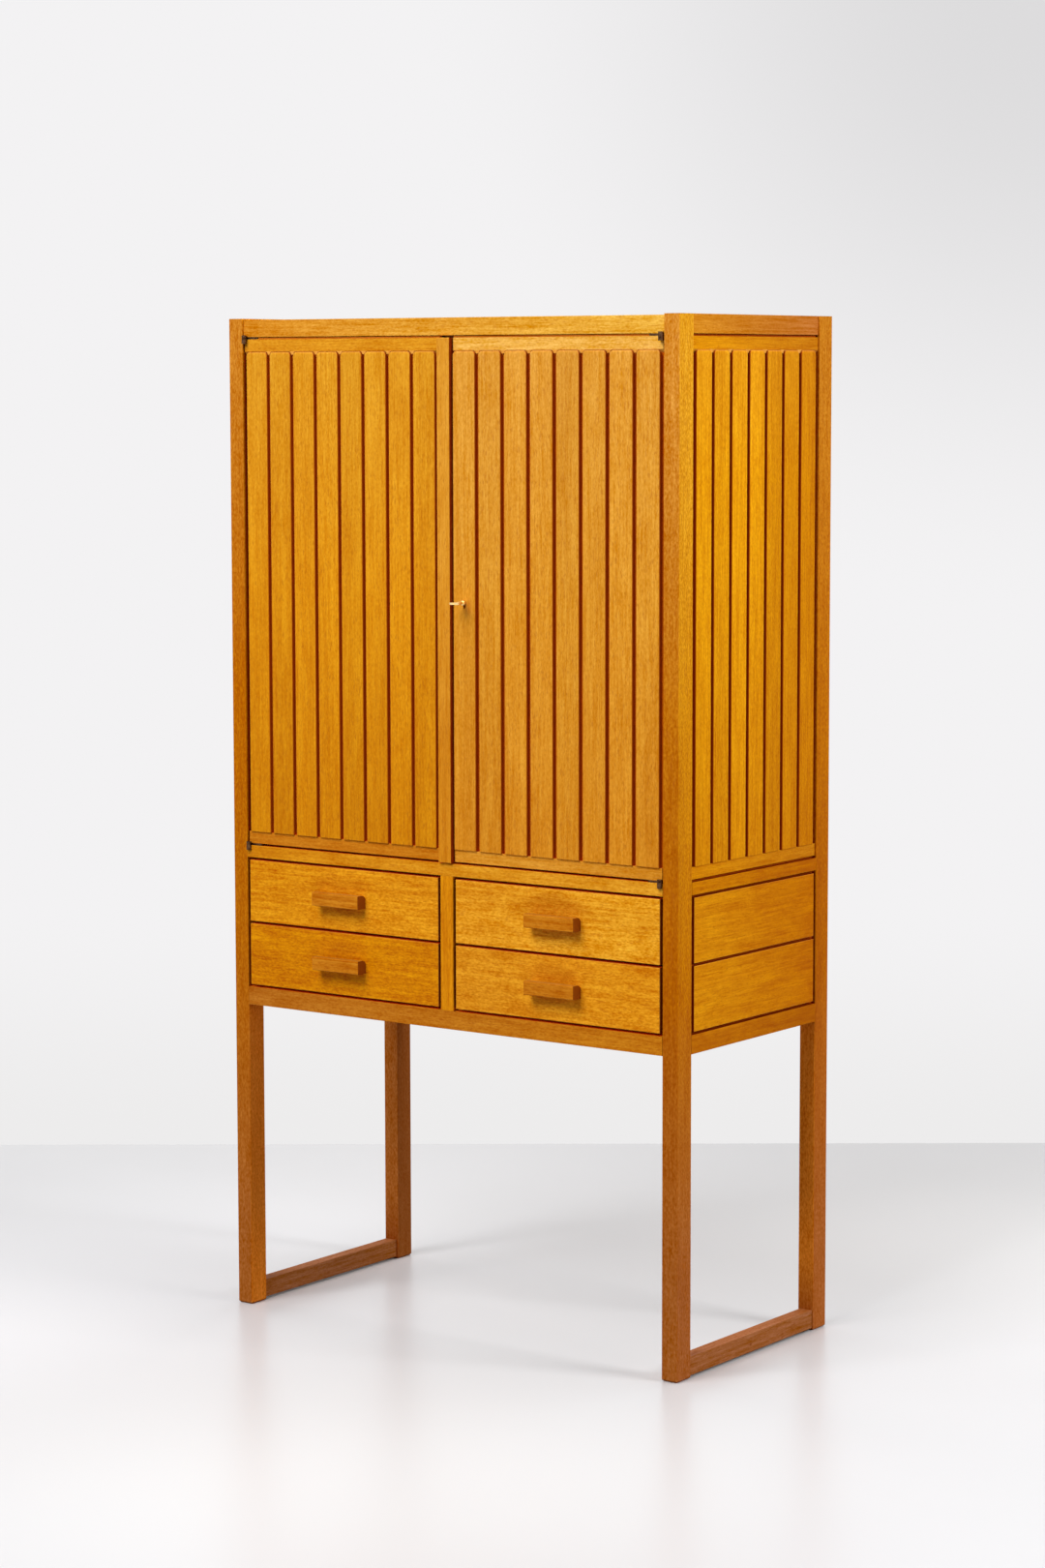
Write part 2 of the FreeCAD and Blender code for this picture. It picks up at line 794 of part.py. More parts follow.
stile = eased_board(
    "closing_stile",
    (-dim.stile_width / 2, front - dim.stile_proud, face_base - dim.stile_drop),
    (dim.stile_width, dim.stile_proud + board_back, face_height + dim.stile_drop),
)
node(stile, "door_left_stile")
for side in SIDES:
    node(group(f"door_{side}_hinges", door_halves[side]), f"door_{side}_hinge_leaves")

stop_corner = (-dim.stop_length / 2, front + board_back + dim.stop_clearance, top_rail_base - dim.stop_drop)
node(box("door_stop_block", stop_corner, (dim.stop_length, dim.stop_depth, dim.stop_drop)), "door_stop")


# Lock: an open case on the back of the right door, a bolt that slides in it, and the key

lock_front = front + board_back
case_x = right_door_x + dim.lock_edge
case_z = lock_axis_z - dim.lock_below
case_height = dim.lock_below + dim.lock_above
wall = dim.lock_wall
lock_shell = box("lock_shell", (case_x, lock_front, case_z), (dim.lock_width, dim.lock_depth, case_height))
lock_hollow = box(
    "lock_hollow",
    (case_x + wall, lock_front, case_z + wall),
    (dim.lock_width - wall * 2, dim.lock_depth - wall, case_height - wall * 2),
)
bolt_x = right_door_x + dim.bolt_recess
bolt_corner = (bolt_x, lock_front + dim.bolt_standoff, lock_axis_z + dim.bolt_rise)
bolt_size = (dim.bolt_length, dim.bolt_thickness, dim.bolt_height)
clearance = dim.bolt_clearance
bolt_slot = box(
    "bolt_slot",
    (case_x, bolt_corner[1] - clearance, bolt_corner[2] - clearance),
    (wall, dim.bolt_thickness + clearance * 2, dim.bolt_height + clearance * 2),
)
node(cut("lock_case_open", lock_shell, [lock_hollow, bolt_slot]), "lock_case")
node(box("lock_bolt_bar", bolt_corner, bolt_size), "lock_bolt")

bow_y = front - dim.key_reach + dim.key_bow_radius
bow_z = lock_axis_z - dim.key_bow_thickness / 2
bow_disc = cylinder("key_bow_disc", (lock_axis_x, bow_y, bow_z), dim.key_bow_radius, dim.key_bow_thickness)
bow_hole = cylinder("key_bow_hole", (lock_axis_x, bow_y, bow_z), dim.key_bow_hole, dim.key_bow_thickness)
bow = cut("key_bow", bow_disc, [bow_hole])
shank_start = bow_y + dim.key_bow_hole + (dim.key_bow_radius - dim.key_bow_hole) / 2
shank_end = lock_front + dim.lock_depth - wall - clearance
shank = cylinder(
    "key_shank",
    (lock_axis_x, shank_start, lock_axis_z),
    dim.key_radius,
    shank_end - shank_start,
    along="y",
)
collar_start = front - dim.key_collar_gap - dim.key_collar_length
collar = cylinder(
    "key_collar",
    (lock_axis_x, collar_start, lock_axis_z),
    dim.key_collar_radius,
    dim.key_collar_length,
    along="y",
)
bit = box(
    "key_bit",
    (lock_axis_x, shank_end - dim.key_bit_width, lock_axis_z - dim.key_bit_thickness / 2),
    (dim.key_bit_reach, dim.key_bit_width, dim.key_bit_thickness),
)
node(fuse("key_whole", [bow, shank, collar, bit]), "key")


# Test every object, then write one file for each piece

doc.recompute()
for thing in doc.Objects:
    if "Invalid" in thing.State or "Error" in thing.State:
        raise RuntimeError(f"{thing.Label} did not recompute: {thing.State}")
for thing in nodes:
    if thing.Shape.isNull() or not thing.Shape.isValid():
        raise RuntimeError(f"{thing.Label} has no valid shape")

os.makedirs("parts", exist_ok=True)
for thing in nodes:
    thing.Shape.exportStep(f"parts/{thing.Label}.step")
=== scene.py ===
import math

import bmesh
import bpy
from mathutils import Matrix, Vector


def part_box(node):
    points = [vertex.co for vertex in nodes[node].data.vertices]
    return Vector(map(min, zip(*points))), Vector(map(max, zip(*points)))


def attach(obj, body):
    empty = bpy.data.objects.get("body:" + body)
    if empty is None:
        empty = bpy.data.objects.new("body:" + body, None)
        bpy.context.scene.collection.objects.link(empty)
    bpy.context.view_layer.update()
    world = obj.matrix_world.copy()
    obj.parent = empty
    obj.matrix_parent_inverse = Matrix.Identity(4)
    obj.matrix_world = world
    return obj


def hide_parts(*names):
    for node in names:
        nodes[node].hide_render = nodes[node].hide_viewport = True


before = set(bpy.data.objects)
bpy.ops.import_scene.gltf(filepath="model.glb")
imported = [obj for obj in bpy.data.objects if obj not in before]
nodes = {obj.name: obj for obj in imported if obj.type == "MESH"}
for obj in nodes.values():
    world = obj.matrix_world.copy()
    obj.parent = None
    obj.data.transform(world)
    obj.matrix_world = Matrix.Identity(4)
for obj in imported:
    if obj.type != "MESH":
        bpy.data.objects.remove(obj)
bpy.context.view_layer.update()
scene = bpy.context.scene

AXES = "xyz"
# The sides and the way each looks along x
SIDES = {"left": -1, "right": 1}
# The place of the front along y
FRONT = -0.2035
SLAT_WIDTH = 0.0435
DOOR_SLATS = 8
SIDE_SLATS = 7


# Shader helpers


def srgb(red, green, blue):
    """A colour as seen on a screen, in 0 to 255, as the linear colour that shaders take."""
    linear = []
    for value in (red, green, blue):
        share = value / 255
        linear.append(share / 12.92 if share <= 0.04045 else ((share + 0.055) / 1.055) ** 2.4)
    return (*linear, 1.0)


def scaled(colour, red, green, blue):
    """A linear colour with its channels times these shares."""
    return (colour[0] * red, colour[1] * green, colour[2] * blue, 1.0)


class Network:
    """Adds shader nodes to one material or world and links them."""

    def __init__(self, owner):
        self.owner = owner
        owner.use_nodes = True
        self.tree = owner.node_tree
        self.tree.nodes.clear()

    def add(self, kind, inputs=None, **settings):
        made = self.tree.nodes.new(kind)
        for key, value in settings.items():
            setattr(made, key, value)
        for key, value in (inputs or {}).items():
            self.feed(made.inputs[key], value)
        return made

    def feed(self, socket, value):
        """Links an output to the socket, or sets a constant on it."""
        if isinstance(value, bpy.types.NodeSocket):
            self.tree.links.new(value, socket)
        elif socket.type == "VECTOR":
            socket.default_value = value[:3]
        else:
            socket.default_value = value

    def math(self, operation, first, second=0.0):
        return self.add("ShaderNodeMath", {0: first, 1: second}, operation=operation).outputs[0]

    def vector(self, operation, first, second=(0, 0, 0)):
        return self.add("ShaderNodeVectorMath", {0: first, 1: second}, operation=operation)

    def length(self, vector):
        return self.vector("LENGTH", vector).outputs["Value"]

    def split(self, vector):
        return self.add("ShaderNodeSeparateXYZ", {0: vector}).outputs

    def ramp(self, value, start, end, low=0.0, high=1.0, smooth=False):
        """Maps start to low and end to high, and holds the value beyond them."""
        kind = "SMOOTHSTEP" if smooth else "LINEAR"
        limits = {"Value": value, "From Min": start, "From Max": end, "To Min": low, "To Max": high}
        return self.add("ShaderNodeMapRange", limits, interpolation_type=kind).outputs["Result"]

    def mix(self, share, first, second):
        made = self.add("ShaderNodeMix", data_type="RGBA")
        self.feed(made.inputs["Factor"], share)
        colour_inputs = [socket for socket in made.inputs if socket.type == "RGBA"]
        self.feed(colour_inputs[0], first)
        self.feed(colour_inputs[1], second)
        return next(socket for socket in made.outputs if socket.type == "RGBA")

    def shade(self, colour, factor):
        """A colour times a number."""
        made = self.vector("SCALE", colour)
        self.feed(made.inputs["Scale"], factor)
        return made.outputs[0]

    def total(self, first, *others):
        for value in others:
            first = self.math("ADD", first, value)
        return first

    def seen(self):
        """1 for what the camera, gloss and glass show, 0 for all other light."""
        rays = self.add("ShaderNodeLightPath").outputs
        shown = self.math("MAXIMUM", rays["Is Camera Ray"], rays["Is Glossy Ray"])
        return self.math("MAXIMUM", shown, rays["Is Transmission Ray"])

    def noise(self, vector, detail=2.0, roughness=0.5, distortion=0.0):
        inputs = {"Vector": vector, "Scale": 1.0, "Detail": detail}
        inputs.update({"Roughness": roughness, "Distortion": distortion})
        return self.add("ShaderNodeTexNoise", inputs).outputs["Fac"]

    def around_zero(self, value, reach):
        """A noise's usual values, spread from -reach to reach."""
        return self.ramp(value, 0.3, 0.7, -reach, reach)

    def principled(self, inputs):
        """Adds the surface shader and links it to the material's output."""
        shader = self.add("ShaderNodeBsdfPrincipled", inputs).outputs[0]
        self.add("ShaderNodeOutputMaterial", {"Surface": shader})

    def clear_where(self, share, shader):
        """Links a shader to the material's output, and makes it clear where the share is 1."""
        clear = self.add("ShaderNodeBsdfTransparent").outputs[0]
        mixed = self.add("ShaderNodeMixShader", {0: share, 1: shader, 2: clear}).outputs[0]
        self.add("ShaderNodeOutputMaterial", {"Surface": mixed})


# Materials

GRAIN_TINT = (0.5, 1.0, 3.0)
DARK_BAND = (0.94, 0.9, 0.8, 1.0)
LIGHT_BAND = (1.06, 1.1, 1.2, 1.0)
PORE_SHADE = (0.68, 0.45, 0.3)
WORN_SHADE = (1.1, 1.25, 1.8)
LACQUER_TINT = (1.0, 0.8, 0.5, 1.0)
BOARD_SWING = 0.035
FIBRE_SWING = 0.1
CLOUD_SWING = 0.07
SCRATCH_SWING = 0.06
ARRIS_RADIUS = 0.0012
GAP_REACH = 0.012
SHINE = 0.08
SIDE_SHINE = 0.02
NO_SHINE = 0.0
PATCH_REPEATS = (160, 160, 160)
SCRATCH_REPEATS = (900, 300, 4200)


def shift(axis, first, *others):
    """A tone and its fades, from stop to stop along an axis; a stop is a place and a colour."""
    fades = []
    end = first[0]
    for place, colour in others:
        fades.append((axis, place, end, colour))
        end = place
    return first[1], fades


def wood(
    name,
    grain,
    tone,
    fades=(),
    boards=None,
    sides=None,
    face=None,
    walls=None,
    hidden=(),
    gaps=(),
    end_grain=None,
    arris=None,
    contrast=1.0,
    figure=0.0,
    streaking=0.21,
    pores=0.5,
    speckle=0.07,
    spots=(),
    shine=SHINE,
):
    """Lacquered wood, with fibres and open pores along its grain axis, round a mean tone.

    fades: axis, place, end and colour; the colour is full at the place and beyond, and gone at the end
    boards: axis, start and pitch of boards side by side, each with a pattern and tone of its own
    sides: axis, colour and fades of the faces that look along the axis
    face: axis, and colours of the edges and rims of a piece that is seen along the axis; the rim colour
    is a painted highlight on the rounding
    walls: axis, sign and colour of a slat's walls along the axis, painted shade in the grooves; on the
    sign's side the rounded edge is painted dark too
    hidden: axis, sign, colour and fades of faces that look that way
    gaps: axis, colour and fades of faces that look along the axis either way, where another piece is
    near; the colour is painted shade and light in the gap
    end_grain, arris: colours of the ends across the grain and of the edges, lighter where worn; on the
    drawers and the side trims and aprons the arris colour is a painted dark line of shade beside the gaps
    spots: centre, reach, greatest share and colour of darker spots, such as stains and painted shadows
    """
    net = Network(bpy.data.materials.new(name))
    coordinates = net.add("ShaderNodeTexCoord").outputs
    place = coordinates["Object"]
    position = net.split(place)
    facing = net.split(coordinates["Normal"])

    def facing_along(axis):
        """How squarely a face looks along an axis, whichever way."""
        return net.math("ABSOLUTE", facing[AXES.index(axis)])

    def facing_to(axis, sign):
        """How squarely a face looks one way along an axis."""
        return net.math("MULTIPLY", facing[AXES.index(axis)], sign)

    def faded(colour, steps):
        """A colour that goes over into others along the axes."""
        for axis, start, end, far_colour in steps:
            share = net.ramp(position[AXES.index(axis)], start, end)
            colour = net.mix(share, far_colour, colour)
        return colour

    def pattern(across, along, **options):
        """Noise with so many repeats to the metre across and along the grain."""
        repeats = [across, across, across]
        repeats[AXES.index(grain)] = along
        return net.noise(net.vector("MULTIPLY", place, repeats).outputs[0], **options)

    # Patterns, which differ from board to board
    shading = 1.0
    if boards:
        axis, start, pitch = boards
        along_row = net.math("DIVIDE", net.math("SUBTRACT", position[AXES.index(axis)], start), pitch)
        number = net.math("FLOOR", along_row)
        chance = net.add("ShaderNodeTexWhiteNoise", {"W": number}, noise_dimensions="1D").outputs
        shading = net.ramp(chance["Value"], 0.0, 1.0, 1 - BOARD_SWING, 1 + BOARD_SWING)
        place = net.vector("ADD", place, chance["Color"]).outputs[0]
    bands = pattern(22, 1.6, detail=3, distortion=0.6)
    streaks = pattern(230, 9, detail=4, roughness=0.65)
    fibres = pattern(900, 60, detail=2)
    mottle = pattern(380, 190, detail=2)
    clouds = pattern(26, 12, detail=3, roughness=0.6, distortion=1.2)
    flecks = net.ramp(pattern(430, 90, detail=2, roughness=0.6), 0.56, 0.68)

    # Tone, bands, and spots of stain and of painted shadow
    colour = faded(tone, fades)
    if sides:
        axis, side_tone, side_fades = sides
        colour = net.mix(net.ramp(facing_along(axis), 0.6, 0.8), colour, faded(side_tone, side_fades))
    tint = net.mix(net.ramp(bands, 0.32, 0.68), DARK_BAND, LIGHT_BAND)
    colour = net.vector("MULTIPLY", colour, tint).outputs[0]
    for centre, reach, share, spot_colour in spots:
        offset = net.vector("SUBTRACT", coordinates["Object"], centre).outputs[0]
        distance = net.length(net.vector("DIVIDE", offset, reach).outputs[0])
        ragged = net.math("ADD", distance, net.around_zero(clouds, 0.3))
        colour = net.mix(net.ramp(ragged, 0.2, 1.0, share, 0.0, smooth=True), colour, spot_colour)

    # Grain and pores
    change = net.total(
        net.around_zero(streaks, streaking),
        net.around_zero(fibres, FIBRE_SWING),
        net.around_zero(mottle, speckle),
        net.around_zero(clouds, CLOUD_SWING + figure),
    )
    variation = net.vector("MULTIPLY_ADD", net.math("MULTIPLY", change, contrast), GRAIN_TINT)
    net.feed(variation.inputs[2], (1, 1, 1))
    variation = net.shade(variation.outputs[0], shading)
    colour = net.vector("MULTIPLY", colour, variation).outputs[0]
    colour = net.mix(net.math("MULTIPLY", flecks, pores), colour, scaled(tone, *PORE_SHADE))

    # Edges: lighter where worn, or in the arris colour, which on the drawers and the side trims and
    # aprons is a painted dark line of shade beside the gaps
    rounded = net.add("ShaderNodeBevel", {"Radius": ARRIS_RADIUS}, samples=4).outputs[0]
    flat = net.add("ShaderNodeNewGeometry").outputs["Normal"]
    aligned = net.vector("DOT_PRODUCT", rounded, flat).outputs["Value"]
    worn = net.math("MULTIPLY", net.ramp(aligned, 0.97, 0.8), net.ramp(streaks, 0.3, 0.6, 0.2, 0.6))
    colour = net.mix(worn, colour, arris or scaled(tone, *WORN_SHADE))

    # Faces with a colour of their own: rims in a painted highlight, walls in painted shade, and gaps in
    # painted shade and light
    if face:
        axis, edge_colour, rim_highlight = face
        turned = facing_along(axis)
        colour = net.mix(net.ramp(turned, 0.99, 0.75, 0.0, 0.25), colour, rim_highlight)
        colour = net.mix(net.ramp(turned, 0.3, 0.75), edge_colour, colour)
    # Painted shade in the grooves: the walls, and the rounded edge on the sign's side, take the wall
    # colour
    if walls:
        axis, sign, wall_colour = walls
        turned = facing_to(axis, sign)
        dark = net.math("MAXIMUM", net.ramp(turned, 0.15, 0.65), net.ramp(turned, -0.75, -0.98))
        colour = net.mix(dark, colour, wall_colour)
    for axis, sign, hidden_colour, hidden_fades in hidden:
        hidden_shade = net.vector("MULTIPLY", faded(hidden_colour, hidden_fades), variation).outputs[0]
        colour = net.mix(net.ramp(facing_to(axis, sign), 0.6, 0.8), colour, hidden_shade)
    # Painted shade and light in the gaps: faces that look into a gap take the gap's colour where ambient
    # occlusion finds another piece near
    if gaps:
        occlusion = net.add("ShaderNodeAmbientOcclusion", {"Distance": GAP_REACH}, samples=16)
        near = net.ramp(occlusion.outputs["AO"], 0.45, 0.3)
    for axis, gap_colour, gap_fades in gaps:
        share = net.math("MULTIPLY", net.ramp(facing_along(axis), 0.6, 0.9), near)
        colour = net.mix(share, colour, faded(gap_colour, gap_fades))
    if end_grain:
        colour = net.mix(net.ramp(facing_along(grain), 0.7, 0.9), colour, end_grain)

    # Relief and gloss
    relief = net.math("SUBTRACT", net.math("MULTIPLY", fibres, 0.5), flecks)
    bump = net.add(
        "ShaderNodeBump", {"Strength": 0.2, "Distance": 0.0004, "Height": relief, "Normal": rounded}
    )
    dullness = net.ramp(streaks, 0.2, 0.8, 0.37, 0.49)
    net.principled(
        {
            "Base Color": colour,
            "Roughness": net.math("ADD", dullness, net.math("MULTIPLY", flecks, 0.15)),
            "Normal": bump.outputs[0],
            "Specular IOR Level": shine,
            "Specular Tint": LACQUER_TINT,
        }
    )
    return net.owner


def metal(name, bright, tarnish, roughness):
    """Brushed and tarnished brass."""
    net = Network(bpy.data.materials.new(name))
    place = net.add("ShaderNodeTexCoord").outputs["Object"]
    patches = net.noise(net.vector("MULTIPLY", place, PATCH_REPEATS).outputs[0], detail=4, roughness=0.6)
    scratches = net.noise(net.vector("MULTIPLY", place, SCRATCH_REPEATS).outputs[0])
    dullness = net.ramp(patches, 0.35, 0.7, roughness, roughness + 0.2)
    bump = net.add("ShaderNodeBump", {"Strength": 0.12, "Distance": 0.0002, "Height": scratches})
    net.principled(
        {
            "Base Color": net.mix(net.ramp(patches, 0.4, 0.68), bright, tarnish),
            "Roughness": net.math("ADD", dullness, net.around_zero(scratches, SCRATCH_SWING)),
            "Normal": bump.outputs[0],
            "Metallic": 1.0,
        }
    )
    return net.owner


def slat_row(node, axis, count):
    """The axis along which a node's slats follow each other, where the first begins, and their pitch."""
    low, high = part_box(node)
    at = AXES.index(axis)
    pitch = (high[at] - low[at] - SLAT_WIDTH) / (count - 1)
    return axis, low[at] - (pitch - SLAT_WIDTH) / 2, pitch


# Colours that several pieces share

# Painted shade: the grooves' walls and the boards at their bottoms are darker and redder than the slats
GROOVE_SHADE = srgb(182, 84, 7)
DEEP_GROOVE_SHADE = srgb(190, 84, 5)
SIDE_GROOVE_SHADE = srgb(168, 67, 5)
# Painted shade in the gaps between doors, drawers, rails and posts: the faces that look into them are
# dark red, and GAP_EDGE and TOP_MOUTH are brighter, as painted light that bounces in deeper and near the
# top
GAP_EDGE = srgb(255, 112, 18)
GAP_MOUTH = srgb(222, 62, 6)
TOP_MOUTH = srgb(255, 160, 50)
# Painted shade: SIDE_GAP darkens the side rails' faces in the gaps and the edges and arrises of the side
# trims and aprons, which widens their shadow lines
SIDE_GAP = srgb(138, 43, 3)
POST_GAP = srgb(150, 36, 3)
UPRIGHT_GAP = srgb(130, 30, 3)
# The tongues at the grooves' tops are lighter than the trims: partly bare wood, and partly painted light
# against the shade at the groove ends
TONGUE = srgb(230, 154, 58)
# Painted shade: the lip's front is darker, for the shade in the gap under the top rail
LIP = srgb(192, 110, 30)
# Painted shade: the stile's sides are dark, for the shade beside it
STILE_SIDE = srgb(150, 54, 7)
# Colour of the key's painted shadow
KEY_SHADOW_COLOUR = srgb(190, 105, 30)
# Painted highlight: a lighter, pinker colour on the roundings of slats, rails, drawer fronts, side trims
# and aprons
RIM_HIGHLIGHT = srgb(228, 158, 84)
RED_LINE = srgb(172, 84, 30)
# Painted shade: the drawer fronts' edges are dark, which widens the shadow lines round the drawers
DARK_LINE = srgb(126, 44, 8)
INSIDE = srgb(205, 150, 86)
END_BROWN = srgb(128, 60, 9)
PULL_END = srgb(154, 82, 18)
# Painted shade: the pulls' tops are darker and greyer, against the light from above
PULL_TOP = srgb(184, 116, 30)
EDGE_WOOD = srgb(186, 108, 30)
TOP_WOOD = srgb(186, 120, 34)
# Colour of a darker, more orange spot above each pull
ABOVE_PULL_DARK = srgb(190, 108, 6)
# Painted shadow under the pulls, darker and redder
UNDER_PULL_SHADOW = srgb(200, 104, 4)

looks = {}

# Doors and sides

# Tones with painted light and shade on top of the wood's own: darker towards the bottom and, on the
# sides, towards the rear; the right door and its trims are paler, a painted sheen
DOOR_TONES = {
    "left": shift("z", (1.6, srgb(219, 149, 32)), (1.2, srgb(224, 145, 16)), (0.8, srgb(214, 133, 8))),
    "right": shift("z", (1.6, srgb(220, 150, 50)), (1.2, srgb(226, 152, 42)), (0.8, srgb(220, 140, 31))),
}
DOOR_TRIM_TONES = {
    "left": shift("z", (1.5, srgb(219, 145, 27)), (0.9, srgb(207, 124, 21))),
    "right": shift("z", (1.5, srgb(239, 178, 76)), (0.9, srgb(221, 145, 38))),
}
SIDE_TONES = shift("z", (1.6, srgb(230, 154, 20)), (1.4, srgb(234, 157, 8)), (0.8, srgb(213, 135, 6)))
SIDE_TRIM_TONES = shift("y", (-0.15, srgb(221, 141, 5)), (0.19, srgb(199, 121, 14)))
APRON_TONES = shift("y", (-0.15, srgb(217, 138, 7)), (0.19, srgb(195, 110, 0)))
STILE_TONES = shift("z", (1.6, srgb(224, 154, 47)), (0.8, srgb(218, 136, 24)))
# Painted shade and light in the front gaps: darker at the mouth, brighter further in and near the top
MOUTH_DEPTH = 0.0085
FRONT_MOUTH = [("y", FRONT, FRONT + MOUTH_DEPTH, GAP_MOUTH), ("z", 1.6, 1.5, TOP_MOUTH)]
FRONT_GAPS = [("x", UPRIGHT_GAP, ()), ("z", GAP_EDGE, FRONT_MOUTH)]
# Painted shade: the side slats darken towards the rear
REAR_PAINTED_SHADE = ("y", 0.3, 0.0, srgb(182, 98, 0))
# Painted shadow of the key: a soft darker spot below and to the right of the keyhole
KEY_SHADOW = ((0.043, FRONT, 1.192), (0.013, 0.05, 0.02), 0.5, KEY_SHADOW_COLOUR)

for side, outward in SIDES.items():
    slats = f"door_{side}_slats"
    looks[slats] = wood(
        slats,
        "z",
        *DOOR_TONES[side],
        boards=slat_row(slats, "x", DOOR_SLATS),
        face=("y", RIM_HIGHLIGHT, RIM_HIGHLIGHT),
        walls=("x", 1, GROOVE_SHADE),
        arris=RED_LINE,
        speckle=0.15,
        spots=[KEY_SHADOW] if side == "right" else (),
    )
    # The board shows only at the bottoms of the grooves, in a darker colour that is painted shade
    board = f"door_{side}_board"
    board_ends = [("z", sign, EDGE_WOOD, ()) for sign in (-1, 1)]
    looks[board] = wood(
        board,
        "z",
        DEEP_GROOVE_SHADE,
        sides=("x", EDGE_WOOD, ()),
        hidden=[("y", 1, INSIDE, ())] + board_ends,
        pores=0.2,
    )
    rails = f"door_{side}_rails"
    looks[rails] = wood(
        rails,
        "x",
        *DOOR_TRIM_TONES[side],
        face=("y", EDGE_WOOD, RIM_HIGHLIGHT),
        gaps=FRONT_GAPS,
        arris=RED_LINE,
        contrast=1.1,
        figure=0.05,
        speckle=0.15,
    )
    slats = f"side_slats_{side}"
    tone, fades = SIDE_TONES
    looks[slats] = wood(
        slats,
        "z",
        tone,
        fades + [REAR_PAINTED_SHADE],
        boards=slat_row(slats, "y", SIDE_SLATS),
        face=("x", RIM_HIGHLIGHT, RIM_HIGHLIGHT),
        walls=("y", -1, SIDE_GROOVE_SHADE),
        arris=RED_LINE,
        contrast=1.2,
        pores=0.3,
        speckle=0.16,
        shine=SIDE_SHINE,
    )
    # The backing shows only at the bottoms of the grooves, in a darker colour that is painted shade
    backing = f"side_boards_{side}"
    looks[backing] = wood(
        backing,
        "z",
        SIDE_GROOVE_SHADE,
        hidden=[("x", -outward, INSIDE, ())],
        pores=0.2,
        shine=SIDE_SHINE,
    )
    # The trims' and aprons' edges and arrises are painted dark as shade beside the gaps
    trims = f"side_trims_{side}"
    looks[trims] = wood(
        trims,
        "y",
        *SIDE_TRIM_TONES,
        face=("x", SIDE_GAP, RIM_HIGHLIGHT),
        arris=SIDE_GAP,
        contrast=1.4,
        pores=0.3,
        shine=SIDE_SHINE,
    )
    aprons = f"side_aprons_{side}"
    looks[aprons] = wood(
        aprons,
        "y",
        *APRON_TONES,
        face=("x", SIDE_GAP, RIM_HIGHLIGHT),
        arris=SIDE_GAP,
        contrast=1.3,
        figure=0.05,
        shine=SIDE_SHINE,
    )
# Lighter tongues, partly painted light at the groove ends
tongue_wood = wood("tongue_wood", "z", TONGUE, pores=0.2)
lip_wood = wood(
    "lip_wood",
    "x",
    LIP,
    hidden=[(axis, 1, TOP_WOOD, ()) for axis in "zy"],
    arris=EDGE_WOOD,
    pores=0.1,
    shine=NO_SHINE,
)
looks["door_left_stile"] = wood("door_left_stile", "z", *STILE_TONES, sides=("x", STILE_SIDE, ()))

# Posts and rails

# Post tones for the front and side faces, lit and shaded copies of one wood: darker and redder towards
# the feet, partly the wood's own and partly painted shade, and darker on the rear posts as painted shade
POST_TONES = {
    "front_right": (
        shift(
            "z",
            (1.55, srgb(218, 142, 47)),
            (1.05, srgb(200, 117, 13)),
            (0.6, srgb(184, 97, 2)),
            (0.15, srgb(170, 94, 34)),
        ),
        shift(
            "z",
            (1.55, srgb(230, 159, 30)),
            (1.05, srgb(212, 137, 11)),
            (0.6, srgb(193, 111, 1)),
            (0.15, srgb(168, 93, 40)),
        ),
    ),
    "front_left": (
        shift(
            "z",
            (1.55, srgb(202, 124, 31)),
            (1.05, srgb(195, 108, 2)),
            (0.6, srgb(195, 111, 9)),
            (0.15, srgb(178, 101, 39)),
        ),
        shift("z", (1.2, srgb(205, 125, 8)), (0.75, srgb(189, 109, 0)), (0.3, srgb(163, 88, 26))),
    ),
    "rear": (
        shift("z", (1.2, srgb(190, 110, 20)), (0.75, srgb(184, 102, 3)), (0.3, srgb(164, 91, 29))),
        shift(
            "z",
            (1.55, srgb(200, 123, 25)),
            (1.05, srgb(196, 113, 4)),
            (0.6, srgb(179, 94, 1)),
            (0.15, srgb(174, 95, 37)),
        ),
    ),
}
DARK_ARRIS = srgb(150, 75, 4)
# Painted shade on the inner side of the rear left post
FAR_POST_SIDE = srgb(150, 81, 29)
LEG_FRONT = [("z", 0.5, 0.53, srgb(218, 122, 30)), ("z", 0.03, 0.12, srgb(168, 88, 28))]
FAR_LEG_FRONT = [("z", 0.5, 0.53, srgb(190, 107, 40)), ("z", 0.03, 0.12, srgb(158, 80, 26))]
LEG_INSIDE = [("z", 0.5, 0.53, srgb(232, 130, 34))]
# Each post's face towards the doors, drawers or sides, and its fades below the case: lighter just under
# the case, as painted light against the case's shadow, and darker at the feet, as painted shade
LEG_FACES = {
    "front_right": ("x", -1, LEG_INSIDE),
    "front_left": ("x", 1, LEG_INSIDE),
    "rear_right": ("y", -1, LEG_FRONT),
    "rear_left": ("y", -1, FAR_LEG_FRONT),
}
for post, (axis, sign, leg_fades) in LEG_FACES.items():
    front_tones, side_tones = POST_TONES["rear" if "rear" in post else post]
    tone, fades = side_tones if axis == "x" else front_tones
    hidden_faces = [(axis, sign, tone, fades + leg_fades)]
    if post == "rear_left":
        hidden_faces.append(("x", 1, FAR_POST_SIDE, ()))
    looks[f"post_{post}"] = wood(
        f"post_{post}",
        "z",
        *front_tones,
        sides=("x", *side_tones),
        hidden=hidden_faces,
        gaps=[(axis, POST_GAP, ())],
        end_grain=END_BROWN,
        arris=DARK_ARRIS if post == "front_right" else None,
        contrast=1.3,
        streaking=0.12,
        speckle=0.24,
        shine=SIDE_SHINE,
    )
FOOT_KNOT = ((0.4425, 0.0124, 0.0161), (0.02, 0.006, 0.004), 0.8, END_BROWN)
